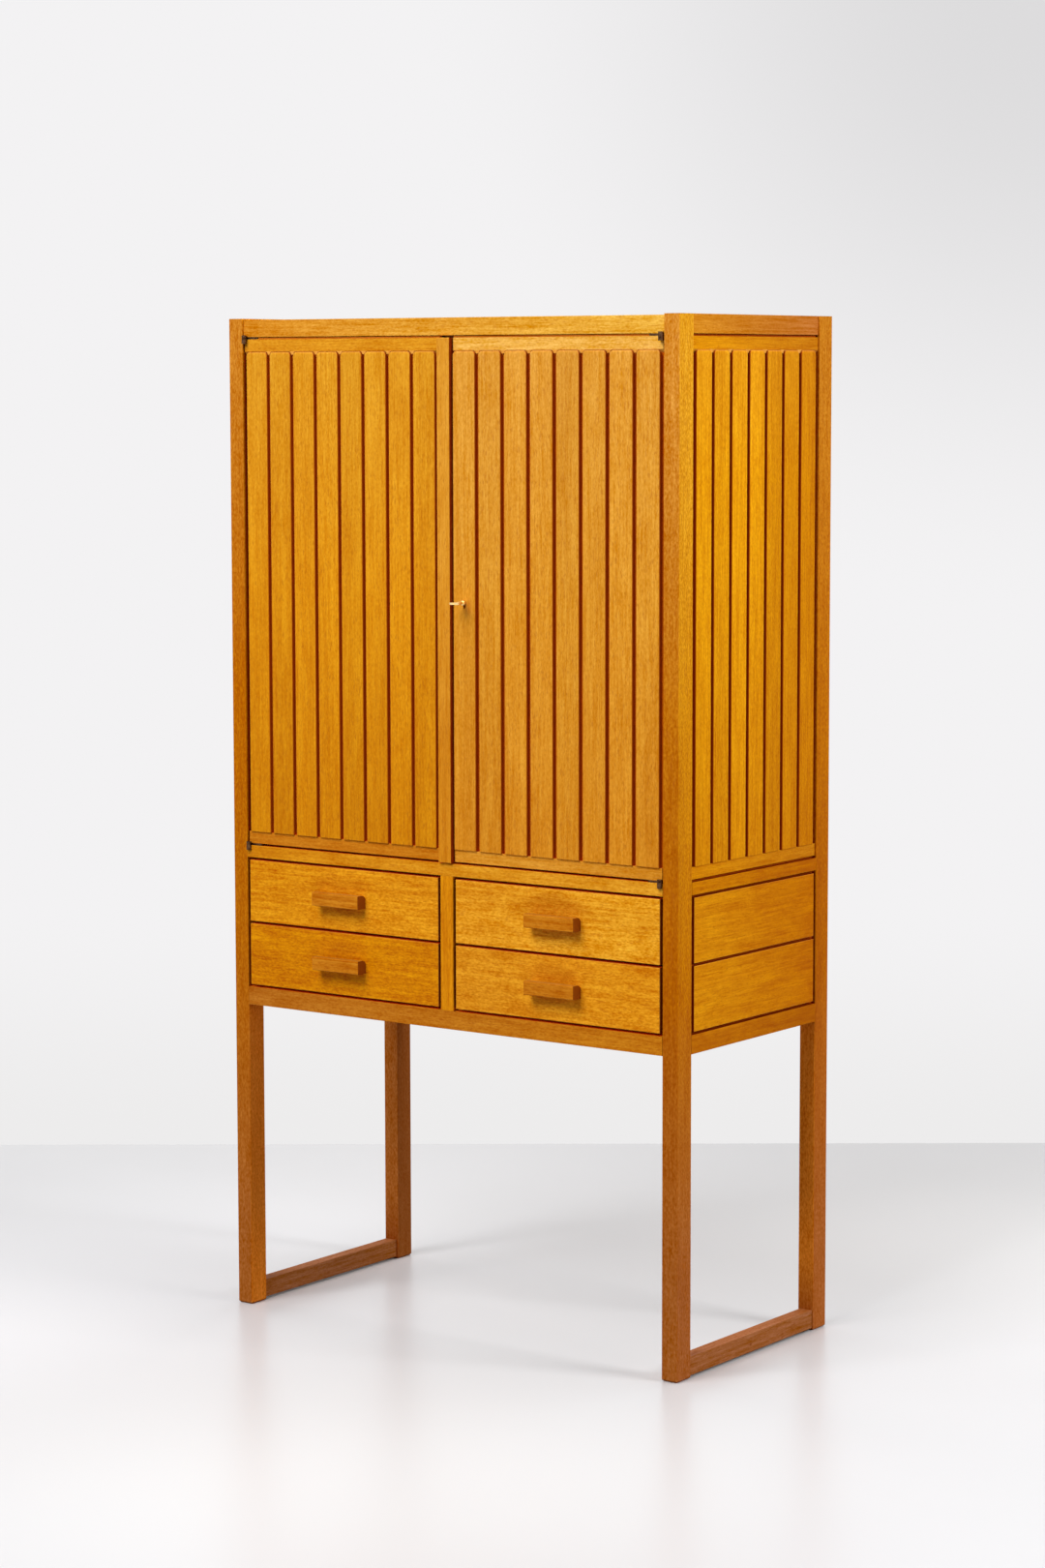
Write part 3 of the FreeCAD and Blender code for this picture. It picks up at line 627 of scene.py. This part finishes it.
foot_wood = wood("foot_wood", "y", srgb(165, 98, 51), spots=[FOOT_KNOT], contrast=1.6, shine=SIDE_SHINE)
# Rail tones with painted light and shade: the front rails paler to the right, a painted sheen, and the
# side rails darker towards the rear, painted shade
RAIL_TONES = {
    "top": (
        shift("x", (0.4, srgb(239, 179, 64)), (-0.4, srgb(213, 136, 35))),
        shift("y", (-0.15, srgb(213, 136, 32)), (0.19, srgb(190, 110, 42))),
    ),
    "mid": (
        shift("x", (0.4, srgb(234, 158, 35)), (-0.4, srgb(218, 136, 12))),
        shift("y", (-0.15, srgb(211, 130, 1)), (0.19, srgb(184, 99, 0))),
    ),
    "bottom": (
        shift("x", (0.4, srgb(206, 124, 17)), (-0.4, srgb(189, 109, 24))),
        shift("y", (-0.15, srgb(196, 114, 4)), (0.19, srgb(177, 95, 0))),
    ),
}
# Upper and lower faces of the side rails that look into a gap, painted dark as shade
HIDDEN_RAIL_FACES = {"top": (-1,), "mid": (-1, 1), "bottom": (1,)}
for level, (front_tones, side_tones) in RAIL_TONES.items():
    gap_faces = [("z", sign, SIDE_GAP, ()) for sign in HIDDEN_RAIL_FACES[level]]
    upper_face = [("z", 1, TOP_WOOD, ())] if level == "top" else []
    front_wood = wood(
        f"{level}_rail_wood",
        "x",
        *front_tones,
        hidden=upper_face,
        gaps=FRONT_GAPS,
        contrast=1.3,
        figure=0.05,
        speckle=0.15,
        shine=NO_SHINE if level == "top" else SHINE,
    )
    side_wood = wood(
        f"{level}_side_rail_wood",
        "y",
        *side_tones,
        hidden=gap_faces + upper_face,
        contrast=1.3,
        figure=0.04,
        shine=NO_SHINE if level == "top" else SIDE_SHINE,
    )
    for end in ("front", "rear"):
        looks[f"{level}_rail_{end}"] = front_wood
    for side in SIDES:
        looks[f"{level}_rail_{side}"] = side_wood
for side in SIDES:
    looks[f"foot_rail_{side}"] = foot_wood

# Drawers

# Drawer tones with painted light and shade: the right drawers paler, a painted sheen, and the lower
# drawers darker, painted shade
DRAWER_TONES = {
    "upper_left": shift("x", (-0.09, srgb(233, 150, 20)), (-0.35, srgb(231, 148, 15))),
    "lower_left": shift("x", (-0.09, srgb(220, 134, 3)), (-0.35, srgb(218, 132, 2))),
    "upper_right": shift("x", (0.35, srgb(244, 167, 36)), (0.09, srgb(239, 159, 32))),
    "lower_right": shift("x", (0.35, srgb(233, 149, 21)), (0.09, srgb(227, 144, 23))),
}
# A darker spot above each pull
ABOVE_PULL_RISE = 0.008
ABOVE_PULL_REACH = (0.075, 0.05, 0.03)
# Reach of the painted shadow under each pull
UNDER_PULL_REACH = (0.055, 0.05, 0.022)
pull_wood = wood(
    "pull_wood",
    "x",
    srgb(205, 122, 20),
    hidden=[("z", 1, PULL_TOP, ())],
    end_grain=PULL_END,
    contrast=1.8,
)
box_wood = wood("box_wood", "y", srgb(214, 168, 108), pores=0.25)
for drawer, tones in DRAWER_TONES.items():
    low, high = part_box(f"drawer_{drawer}_pull")
    middle = (low.x + high.x) / 2
    above_pull = (middle, high.y, high.z + ABOVE_PULL_RISE)
    under_pull = (middle, high.y, low.z)
    looks[f"drawer_{drawer}_front"] = wood(
        f"drawer_{drawer}_front",
        "x",
        *tones,
        face=("y", EDGE_WOOD, RIM_HIGHLIGHT),
        gaps=FRONT_GAPS,
        arris=DARK_LINE,
        contrast=1.35,
        figure=0.06,
        pores=0.55,
        speckle=0.2,
        spots=[
            (above_pull, ABOVE_PULL_REACH, 0.5, ABOVE_PULL_DARK),
            (under_pull, UNDER_PULL_REACH, 0.6, UNDER_PULL_SHADOW),
        ],
    )
    looks[f"drawer_{drawer}_pull"] = pull_wood
    looks[f"drawer_{drawer}_box"] = box_wood

# Inside, back and metal

inside_wood = wood("inside_wood", "x", INSIDE, pores=0.3)
top_wood = wood("top_wood", "x", TOP_WOOD, figure=0.06, shine=NO_SHINE)
# Painted light: the back is paler, for the dimmer light behind the case
back_wood = wood("back_wood", "x", srgb(222, 152, 50), figure=0.06, shine=SIDE_SHINE)
divider_wood = wood("divider_wood", "z", srgb(227, 141, 9), gaps=FRONT_GAPS, contrast=1.4)
brass = metal("brass", srgb(255, 232, 170), srgb(244, 206, 124), 0.34)
hinge_brass = metal("hinge_brass", srgb(108, 78, 54), srgb(50, 28, 14), 0.34)
for name, node in nodes.items():
    if "hinge" in name:
        looks[name] = hinge_brass
    elif name in ("key", "lock_case", "lock_bolt", "shelf_pins"):
        looks[name] = brass
    elif name == "drawer_divider":
        looks[name] = divider_wood
    elif name == "top_panel":
        looks[name] = top_wood
    elif name == "back_panel":
        looks[name] = back_wood
    node.data.materials.clear()
    node.data.materials.append(looks.get(name, inside_wood))


# Slats: the solids with round upper corners and rounded upper ends

EDGE_ROUNDING = 0.0015
TOP_ROUNDING = 0.0042
TOP_GAP = 0.0012
CORNER_RADIUS = 0.006
FLAT_MARGIN = 0.0006
TRIM_DEPTH = 0.0025
SCRIBE_DROP = 0.005
CORNER_STEPS = 6
ROUND_STEPS = 4
# Place of the key's axis along x and z
KEY_AXIS = (0.037, 1.1996)
KEYHOLE_RADIUS = 0.0028
KEYHOLE_SLOT_WIDTH = 0.0032
KEYHOLE_SLOT_DEPTH = 0.009
KEYHOLE_STEPS = 20
TONGUE_THICKNESS = 0.004
TONGUE_ANGLES = (90, 15)
SHARP_ANGLE = math.radians(40)


class SlatRow:
    """Where the slats of a node stand, and the points of pieces among them."""

    def __init__(self, node, axis, outward, count):
        self.low, self.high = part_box(node)
        self.across = AXES.index(axis)
        self.inward = 1 - self.across
        self.outward = outward
        self.face = self.low[self.inward] if outward < 0 else self.high[self.inward]
        self.thickness = self.high[self.inward] - self.low[self.inward]
        pitch = slat_row(node, axis, count)[2]
        self.starts = [self.low[self.across] + pitch * number for number in range(count)]

    def loop(self, form, outline, depth):
        """Corners of an outline of places across and heights, so deep behind the slats' faces."""
        made = []
        for place, height in outline:
            spot = [0, 0, height]
            spot[self.across] = place
            spot[self.inward] = self.face - self.outward * depth
            made.append(form.verts.new(spot))
        return made


def slat_outline(height, side_inset, top_inset, radius):
    """A slat from the front, from its lower left corner, with round upper corners."""
    left = side_inset
    right = SLAT_WIDTH - side_inset
    centre_height = height - top_inset - radius
    points = [(left, 0), (right, 0)]
    for centre, start in ((right - radius, 0), (left + radius, 90)):
        for step in range(CORNER_STEPS + 1):
            angle = math.radians(start + 90 * step / CORNER_STEPS)
            points.append((centre + radius * math.cos(angle), centre_height + radius * math.sin(angle)))
    return points


def slat_layers(height, thickness):
    """Outlines of a slat with their depth, from the flat of its face to its back."""
    face_radius = CORNER_RADIUS - EDGE_ROUNDING
    side_inset = EDGE_ROUNDING + FLAT_MARGIN
    top_inset = TOP_ROUNDING + FLAT_MARGIN
    layers = [(slat_outline(height, side_inset, top_inset, face_radius - FLAT_MARGIN), 0)]
    for step in range(ROUND_STEPS + 1):
        turn = math.radians(90 * step / ROUND_STEPS)
        share = 1 - math.sin(turn)
        inset = EDGE_ROUNDING * share
        outline = slat_outline(height, inset, TOP_ROUNDING * share, CORNER_RADIUS - inset)
        layers.append((outline, EDGE_ROUNDING * (1 - math.cos(turn))))
    layers.append((slat_outline(height, 0, 0, CORNER_RADIUS), TRIM_DEPTH))
    layers.append((slat_outline(height, 0, SCRIBE_DROP, CORNER_RADIUS), thickness))
    return layers


def keyhole_outline():
    """The keyhole's round and the slot below it, from the front."""
    half_slot = KEYHOLE_SLOT_WIDTH / 2
    corner_angle = math.acos(half_slot / KEYHOLE_RADIUS)
    points = []
    for step in range(KEYHOLE_STEPS + 1):
        angle = -corner_angle + (math.pi + 2 * corner_angle) * step / KEYHOLE_STEPS
        points.append((KEYHOLE_RADIUS * math.cos(angle), KEYHOLE_RADIUS * math.sin(angle)))
    points += [(-half_slot, -KEYHOLE_SLOT_DEPTH), (half_slot, -KEYHOLE_SLOT_DEPTH)]
    return [(KEY_AXIS[0] + across, KEY_AXIS[1] + height) for across, height in points]


def bridge(form, first, second):
    """Joins two loops of as many corners by a band of faces."""
    for at in range(len(first)):
        following = (at + 1) % len(first)
        form.faces.new((first[at], first[following], second[following], second[at]))


def close_cap(form, rim, hole):
    """Fills the end of a slat, round a hole where it has one."""
    if not hole:
        form.faces.new(rim)
        return
    edges = []
    for loop in (rim, hole):
        for start, end in zip(loop, loop[1:] + loop[:1]):
            edges.append(form.edges.get((start, end)))
    bmesh.ops.triangle_fill(form, use_beauty=True, edges=edges)


def add_piece(name, form, body, look):
    """Makes a form into a named piece that rides a body."""
    bmesh.ops.recalc_face_normals(form, faces=form.faces)
    for made_face in form.faces:
        made_face.smooth = True
    mesh = bpy.data.meshes.new(name)
    form.to_mesh(mesh)
    form.free()
    mesh.set_sharp_from_angle(angle=SHARP_ANGLE)
    mesh.materials.append(look)
    piece = bpy.data.objects.new(name, mesh)
    scene.collection.objects.link(piece)
    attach(piece, body)
    return piece


def slat_piece(node, body, row, hole=None):
    """A row of slats in place of a node, one of them with a hole where an outline is given."""
    layers = slat_layers(row.high.z - row.low.z - TOP_GAP, row.thickness)
    depths = (layers[0][1], layers[-1][1])
    form = bmesh.new()
    for start in row.starts:
        loops = []
        for outline, depth in layers:
            placed = [(start + place, row.low.z + height) for place, height in outline]
            loops.append(row.loop(form, placed, depth))
        for outer, inner in zip(loops, loops[1:]):
            bridge(form, outer, inner)
        holes = [None, None]
        if hole and start < hole[0][0] < start + SLAT_WIDTH:
            holes = [row.loop(form, hole, depth) for depth in depths]
            bridge(form, *holes)
        close_cap(form, loops[0], holes[0])
        close_cap(form, loops[-1], holes[1])
    piece = add_piece(f"{node}_rounded", form, body, looks[node])
    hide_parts(node)


def groove_ends(name, body, row):
    """The upper trim's tongues, which close the grooves between the round corners of the slats."""
    top = row.high.z
    centre_height = top - TOP_GAP - CORNER_RADIUS
    reach = CORNER_RADIUS + TOP_GAP
    first_angle, last_angle = TONGUE_ANGLES
    form = bmesh.new()
    for start, following in zip(row.starts, row.starts[1:]):
        left_bow = []
        right_bow = []
        for step in range(CORNER_STEPS + 1):
            angle = math.radians(first_angle + (last_angle - first_angle) * step / CORNER_STEPS)
            height = centre_height + reach * math.sin(angle)
            inset = CORNER_RADIUS - reach * math.cos(angle)
            left_bow.append((start + SLAT_WIDTH - inset, height))
            right_bow.append((following + inset, height))
        outline = left_bow + right_bow[::-1]
        front = row.loop(form, outline, TRIM_DEPTH)
        back = row.loop(form, outline, TRIM_DEPTH + TONGUE_THICKNESS)
        bridge(form, front, back)
        form.faces.new(front)
        form.faces.new(back)
    add_piece(name, form, body, tongue_wood)


for side, outward in SIDES.items():
    door = f"door_{side}"
    door_row = SlatRow(f"{door}_slats", "x", -1, DOOR_SLATS)
    slat_piece(f"{door}_slats", door, door_row, keyhole_outline() if side == "right" else None)
    groove_ends(f"{door}_groove_ends", door, door_row)
    side_row = SlatRow(f"side_slats_{side}", "y", outward, SIDE_SLATS)
    slat_piece(f"side_slats_{side}", "cabinet", side_row)
    groove_ends(f"side_groove_ends_{side}", "cabinet", side_row)


# Lips on the upper edges of the doors, which close the gap under the top rail

LIP_RISE = 0.0029
LIP_SETBACK = 0.002
LIP_DEPTH = 0.006
LIP_CLEARANCE = 0.001


def door_lip(side):
    """A strip from the hinge's leaf to the edge where the doors meet."""
    low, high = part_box(f"door_{side}_rails")
    leaf_low, leaf_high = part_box(f"door_{side}_hinge_leaves")
    if side == "left":
        start, end = leaf_high.x + LIP_CLEARANCE, high.x
    else:
        start, end = low.x, leaf_low.x - LIP_CLEARANCE
    front = low.y + LIP_SETBACK
    back = front + LIP_DEPTH
    form = bmesh.new()
    loops = []
    for height in (high.z, high.z + LIP_RISE):
        places = ((start, front), (end, front), (end, back), (start, back))
        loops.append([form.verts.new((x, y, height)) for x, y in places])
    bridge(form, *loops)
    for loop in loops:
        form.faces.new(loop)
    add_piece(f"door_{side}_top_lip", form, f"door_{side}", lip_wood)


for side in SIDES:
    door_lip(side)


# Screws: slotted heads on the back panel and the lock case

SCREW_SLOT = 0.0011
SLOT_FLOOR = 0.35
HEAD_STEPS = 10
# Shares of the head's height and radius, from its seat to its top
HEAD_LAYERS = ((0.0, 1.0), (0.5, 1.0), (0.85, 0.9), (1.0, 0.72))
BACK_SCREW_PLACES = (-0.38, -0.19, 0.0, 0.19, 0.38)
BACK_SCREW_RAILS = ("bottom_rail_rear", "mid_rail_rear", "top_rail_rear")
LOCK_SCREW_INSET = 0.006
SCREW_TURN = 0.7
# Radius and height of the heads
BACK_SCREW_SIZE = (0.0042, 0.0014)
LOCK_SCREW_SIZE = (0.0028, 0.0009)


def screw_head(form, centre, radius, height, turn):
    """A slotted head on a face that looks backwards: two halves of a low dome and the slot's floor."""

    def corner(across, along, rise):
        """A point by its places across and along the slot, and its share of the head's height."""
        sideways = along * math.cos(turn) - across * math.sin(turn)
        upwards = along * math.sin(turn) + across * math.cos(turn)
        return form.verts.new(centre + Vector((sideways, height * rise, upwards)))

    half_slot = SCREW_SLOT / 2
    for sign in (-1, 1):
        loops = []
        for rise, share in HEAD_LAYERS:
            reach = radius * share
            start = math.asin(half_slot / reach)
            loop = []
            for step in range(HEAD_STEPS + 1):
                angle = start + (math.pi - 2 * start) * step / HEAD_STEPS
                loop.append(corner(sign * reach * math.sin(angle), reach * math.cos(angle), rise))
            loops.append(loop)
        for lower, upper in zip(loops, loops[1:]):
            bridge(form, lower, upper)
        form.faces.new(loops[0])
        form.faces.new(loops[-1])
    slot_end = math.sqrt(radius**2 - half_slot**2)
    signs = ((-1, -1), (-1, 1), (1, 1), (1, -1))
    floor_loops = []
    for rise in (0.0, SLOT_FLOOR):
        loop = [corner(across * half_slot, along * slot_end, rise) for across, along in signs]
        floor_loops.append(loop)
    bridge(form, *floor_loops)
    for loop in floor_loops:
        form.faces.new(loop)


def screws(name, body, places, radius, height):
    """Screw heads at these places as one piece, each slot turned a little further."""
    form = bmesh.new()
    for number, place in enumerate(places):
        screw_head(form, Vector(place), radius, height, SCREW_TURN * number)
    add_piece(name, form, body, brass)


back_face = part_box("back_panel")[1].y
back_screw_places = []
for rail in BACK_SCREW_RAILS:
    low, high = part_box(rail)
    back_screw_places += [(place, back_face, (low.z + high.z) / 2) for place in BACK_SCREW_PLACES]
screws("back_panel_screws", "cabinet", back_screw_places, *BACK_SCREW_SIZE)
low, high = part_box("lock_case")
lock_columns = (low.x + LOCK_SCREW_INSET, high.x - LOCK_SCREW_INSET)
lock_levels = (low.z + LOCK_SCREW_INSET, high.z - LOCK_SCREW_INSET)
lock_screw_places = [(column, high.y, height) for column in lock_columns for height in lock_levels]
screws("lock_screws", "door_right", lock_screw_places, *LOCK_SCREW_SIZE)


# Camera, at the photograph's viewing angle

CAMERA_PLACE = Vector((3.5966, -4.9378, 1.5587))
YAW = math.radians(36.051)
PITCH = math.radians(6.239)
ROLL = math.radians(-0.106)
LENS = 86.04
SENSOR_WIDTH = 36

ahead = Vector((-math.sin(YAW), math.cos(YAW), 0))
forward = ahead * math.cos(PITCH) - Vector((0, 0, math.sin(PITCH)))
aside = Vector((math.cos(YAW), math.sin(YAW), 0))
upright = aside.cross(forward)
right = aside * math.cos(ROLL) + upright * math.sin(ROLL)
up = upright * math.cos(ROLL) - aside * math.sin(ROLL)

camera = bpy.data.objects.new("camera", bpy.data.cameras.new("camera"))
camera.data.lens = LENS
camera.data.sensor_width = SENSOR_WIDTH
camera_turn = Matrix((right, up, -forward)).transposed().to_4x4()
camera.matrix_world = Matrix.Translation(CAMERA_PLACE) @ camera_turn
scene.collection.objects.link(camera)
scene.camera = camera


# Floor and wall

ROOM_GREY = (0.28, 0.28, 0.28, 1.0)
FLOOR_REACH = 14.0
FLOOR_TONE = srgb(208, 208, 210)
# Painted light: lighter patches of floor where the lamps leave it darker or the case casts its shadow
FLOOR_LIGHT_PATCHES = [
    ((-0.75, -0.35, 0), 1.1, srgb(225, 225, 228)),
    ((0.6, 1.1, 0), 1.1, srgb(231, 231, 232)),
    ((0.3, -0.9, 0), 0.9, srgb(222, 222, 223)),
]
FAR_FLOOR_TONE = srgb(236, 236, 237)
# Distances at which the far floor's tone begins and is full
FAR_FLOOR = (1.6, 4.5)
WALL_DISTANCE = 7.51
WALL_REACH = 9.0
WALL_HEIGHT = 7.0
WALL_TONE = srgb(243, 242, 243)
# Painted shade on the wall, at its foot and towards a corner
WALL_FOOT_TONE = srgb(237, 236, 236)
WALL_FOOT_HEIGHT = 0.5
WALL_CORNER_TONE = srgb(221, 220, 221)
WALL_CORNER_ASIDE = 1.05
WALL_CORNER_HEIGHT = 2.35
WALL_CORNER_REACH = (0.1, 1.3)


def stage_sheet(name, corners, material):
    """One flat face that belongs to the stage."""
    mesh = bpy.data.meshes.new(name)
    mesh.from_pydata(corners, [], [list(range(len(corners)))])
    mesh.materials.append(material)
    made = bpy.data.objects.new(name, mesh)
    scene.collection.objects.link(made)


def floor_material():
    """Pale paint with faint clouds and patches of painted light, which lights the object in another
    colour.

    Far from the object, where the lamps don't reach, it shows its own colour. It is clear from below.
    """
    net = Network(bpy.data.materials.new("floor"))
    place = net.add("ShaderNodeTexCoord").outputs["Object"]
    clouds = net.noise(place, detail=4, roughness=0.6)
    tint = net.mix(net.ramp(clouds, 0.35, 0.65), scaled(FLOOR_TONE, 0.98, 0.98, 0.98), FLOOR_TONE)
    for centre, reach, patch_colour in FLOOR_LIGHT_PATCHES:
        distance = net.length(net.vector("SUBTRACT", place, centre).outputs[0])
        tint = net.mix(net.ramp(distance, 0.0, reach, smooth=True), patch_colour, tint)
    seen = net.seen()
    colour = net.mix(seen, ROOM_GREY, tint)
    paint = net.add(
        "ShaderNodeBsdfPrincipled", {"Base Color": colour, "Roughness": 0.3, "Specular IOR Level": 0.6}
    ).outputs[0]
    glow = net.add("ShaderNodeEmission", {"Color": FAR_FLOOR_TONE}).outputs[0]
    far = net.math("MULTIPLY", net.ramp(net.length(place), *FAR_FLOOR, smooth=True), seen)
    shader = net.add("ShaderNodeMixShader", {0: far, 1: paint, 2: glow}).outputs[0]
    below = net.add("ShaderNodeNewGeometry").outputs["Backfacing"]
    net.clear_where(below, shader)
    return net.owner


def wall_material(corner_place):
    """Pale paint with painted shade, which gets darker at its foot and towards one corner.

    It is clear from behind, and lets the lamps' light through.
    """
    net = Network(bpy.data.materials.new("wall"))
    place = net.add("ShaderNodeTexCoord").outputs["Object"]
    height = net.split(place)["Z"]
    colour = net.mix(net.ramp(height, 0.0, WALL_FOOT_HEIGHT, smooth=True), WALL_FOOT_TONE, WALL_TONE)
    distance = net.length(net.vector("SUBTRACT", place, corner_place).outputs[0])
    colour = net.mix(net.ramp(distance, *WALL_CORNER_REACH, smooth=True), WALL_CORNER_TONE, colour)
    glow = net.add("ShaderNodeEmission", {"Color": colour}).outputs[0]
    paint = net.add("ShaderNodeBsdfDiffuse", {"Color": ROOM_GREY}).outputs[0]
    shader = net.add("ShaderNodeMixShader", {0: net.seen(), 1: paint, 2: glow}).outputs[0]
    behind = net.add("ShaderNodeNewGeometry").outputs["Backfacing"]
    shadow = net.add("ShaderNodeLightPath").outputs["Is Shadow Ray"]
    net.clear_where(net.math("MAXIMUM", behind, shadow), shader)
    return net.owner


floor_corners = [(-1, -1), (1, -1), (1, 1), (-1, 1)]
stage_sheet(
    "floor",
    [(x * FLOOR_REACH, y * FLOOR_REACH, 0) for x, y in floor_corners],
    floor_material(),
)
wall_foot = Vector((CAMERA_PLACE.x, CAMERA_PLACE.y, 0)) + ahead * WALL_DISTANCE
wall_left = wall_foot - aside * WALL_REACH
wall_right = wall_foot + aside * WALL_REACH
wall_rise = Vector((0, 0, WALL_HEIGHT))
wall_corner = wall_foot + aside * WALL_CORNER_ASIDE + Vector((0, 0, WALL_CORNER_HEIGHT))
stage_sheet(
    "wall",
    [wall_left, wall_right, wall_right + wall_rise, wall_left + wall_rise],
    wall_material(wall_corner),
)


# Light

WORLD_LIGHT = 0.2
WORLD_SHOWN = 0.9
WHITE = (1, 1, 1, 1)

world = Network(bpy.data.worlds.new("world"))
strength = world.ramp(world.seen(), 0.0, 1.0, WORLD_LIGHT, WORLD_SHOWN)
sky = world.add("ShaderNodeBackground", {"Color": WHITE, "Strength": strength}).outputs[0]
world.add("ShaderNodeOutputWorld", {"Surface": sky})
scene.world = world.owner


def lamp(name, place, aim, size, power):
    """A soft square lamp that looks at its aim."""
    data = bpy.data.lights.new(name, "AREA")
    data.shape = "SQUARE"
    data.size = size
    data.energy = power
    made = bpy.data.objects.new(name, data)
    made.location = place
    made.rotation_euler = (Vector(aim) - Vector(place)).to_track_quat("-Z", "Y").to_euler()
    scene.collection.objects.link(made)


lamp("key_light", place=(-0.5, -3.7, 4.7), aim=(0, 0, 1.0), size=3.0, power=266)
lamp("side_light", place=(4.6, 0.5, 3.0), aim=(0.2, 0, 1.1), size=1.6, power=152)
lamp("top_light", place=(0.5, 0.8, 4.6), aim=(0.5, 0.8, 0), size=2.0, power=60)
lamp("rear_light", place=(-0.6, 4.2, 3.2), aim=(0, 0.2, 1.0), size=2.5, power=45)
lamp("left_light", place=(-4.6, 0.8, 1.4), aim=(-0.4, 0, 1.0), size=2.0, power=38)
scene.view_settings.view_transform = "Standard"
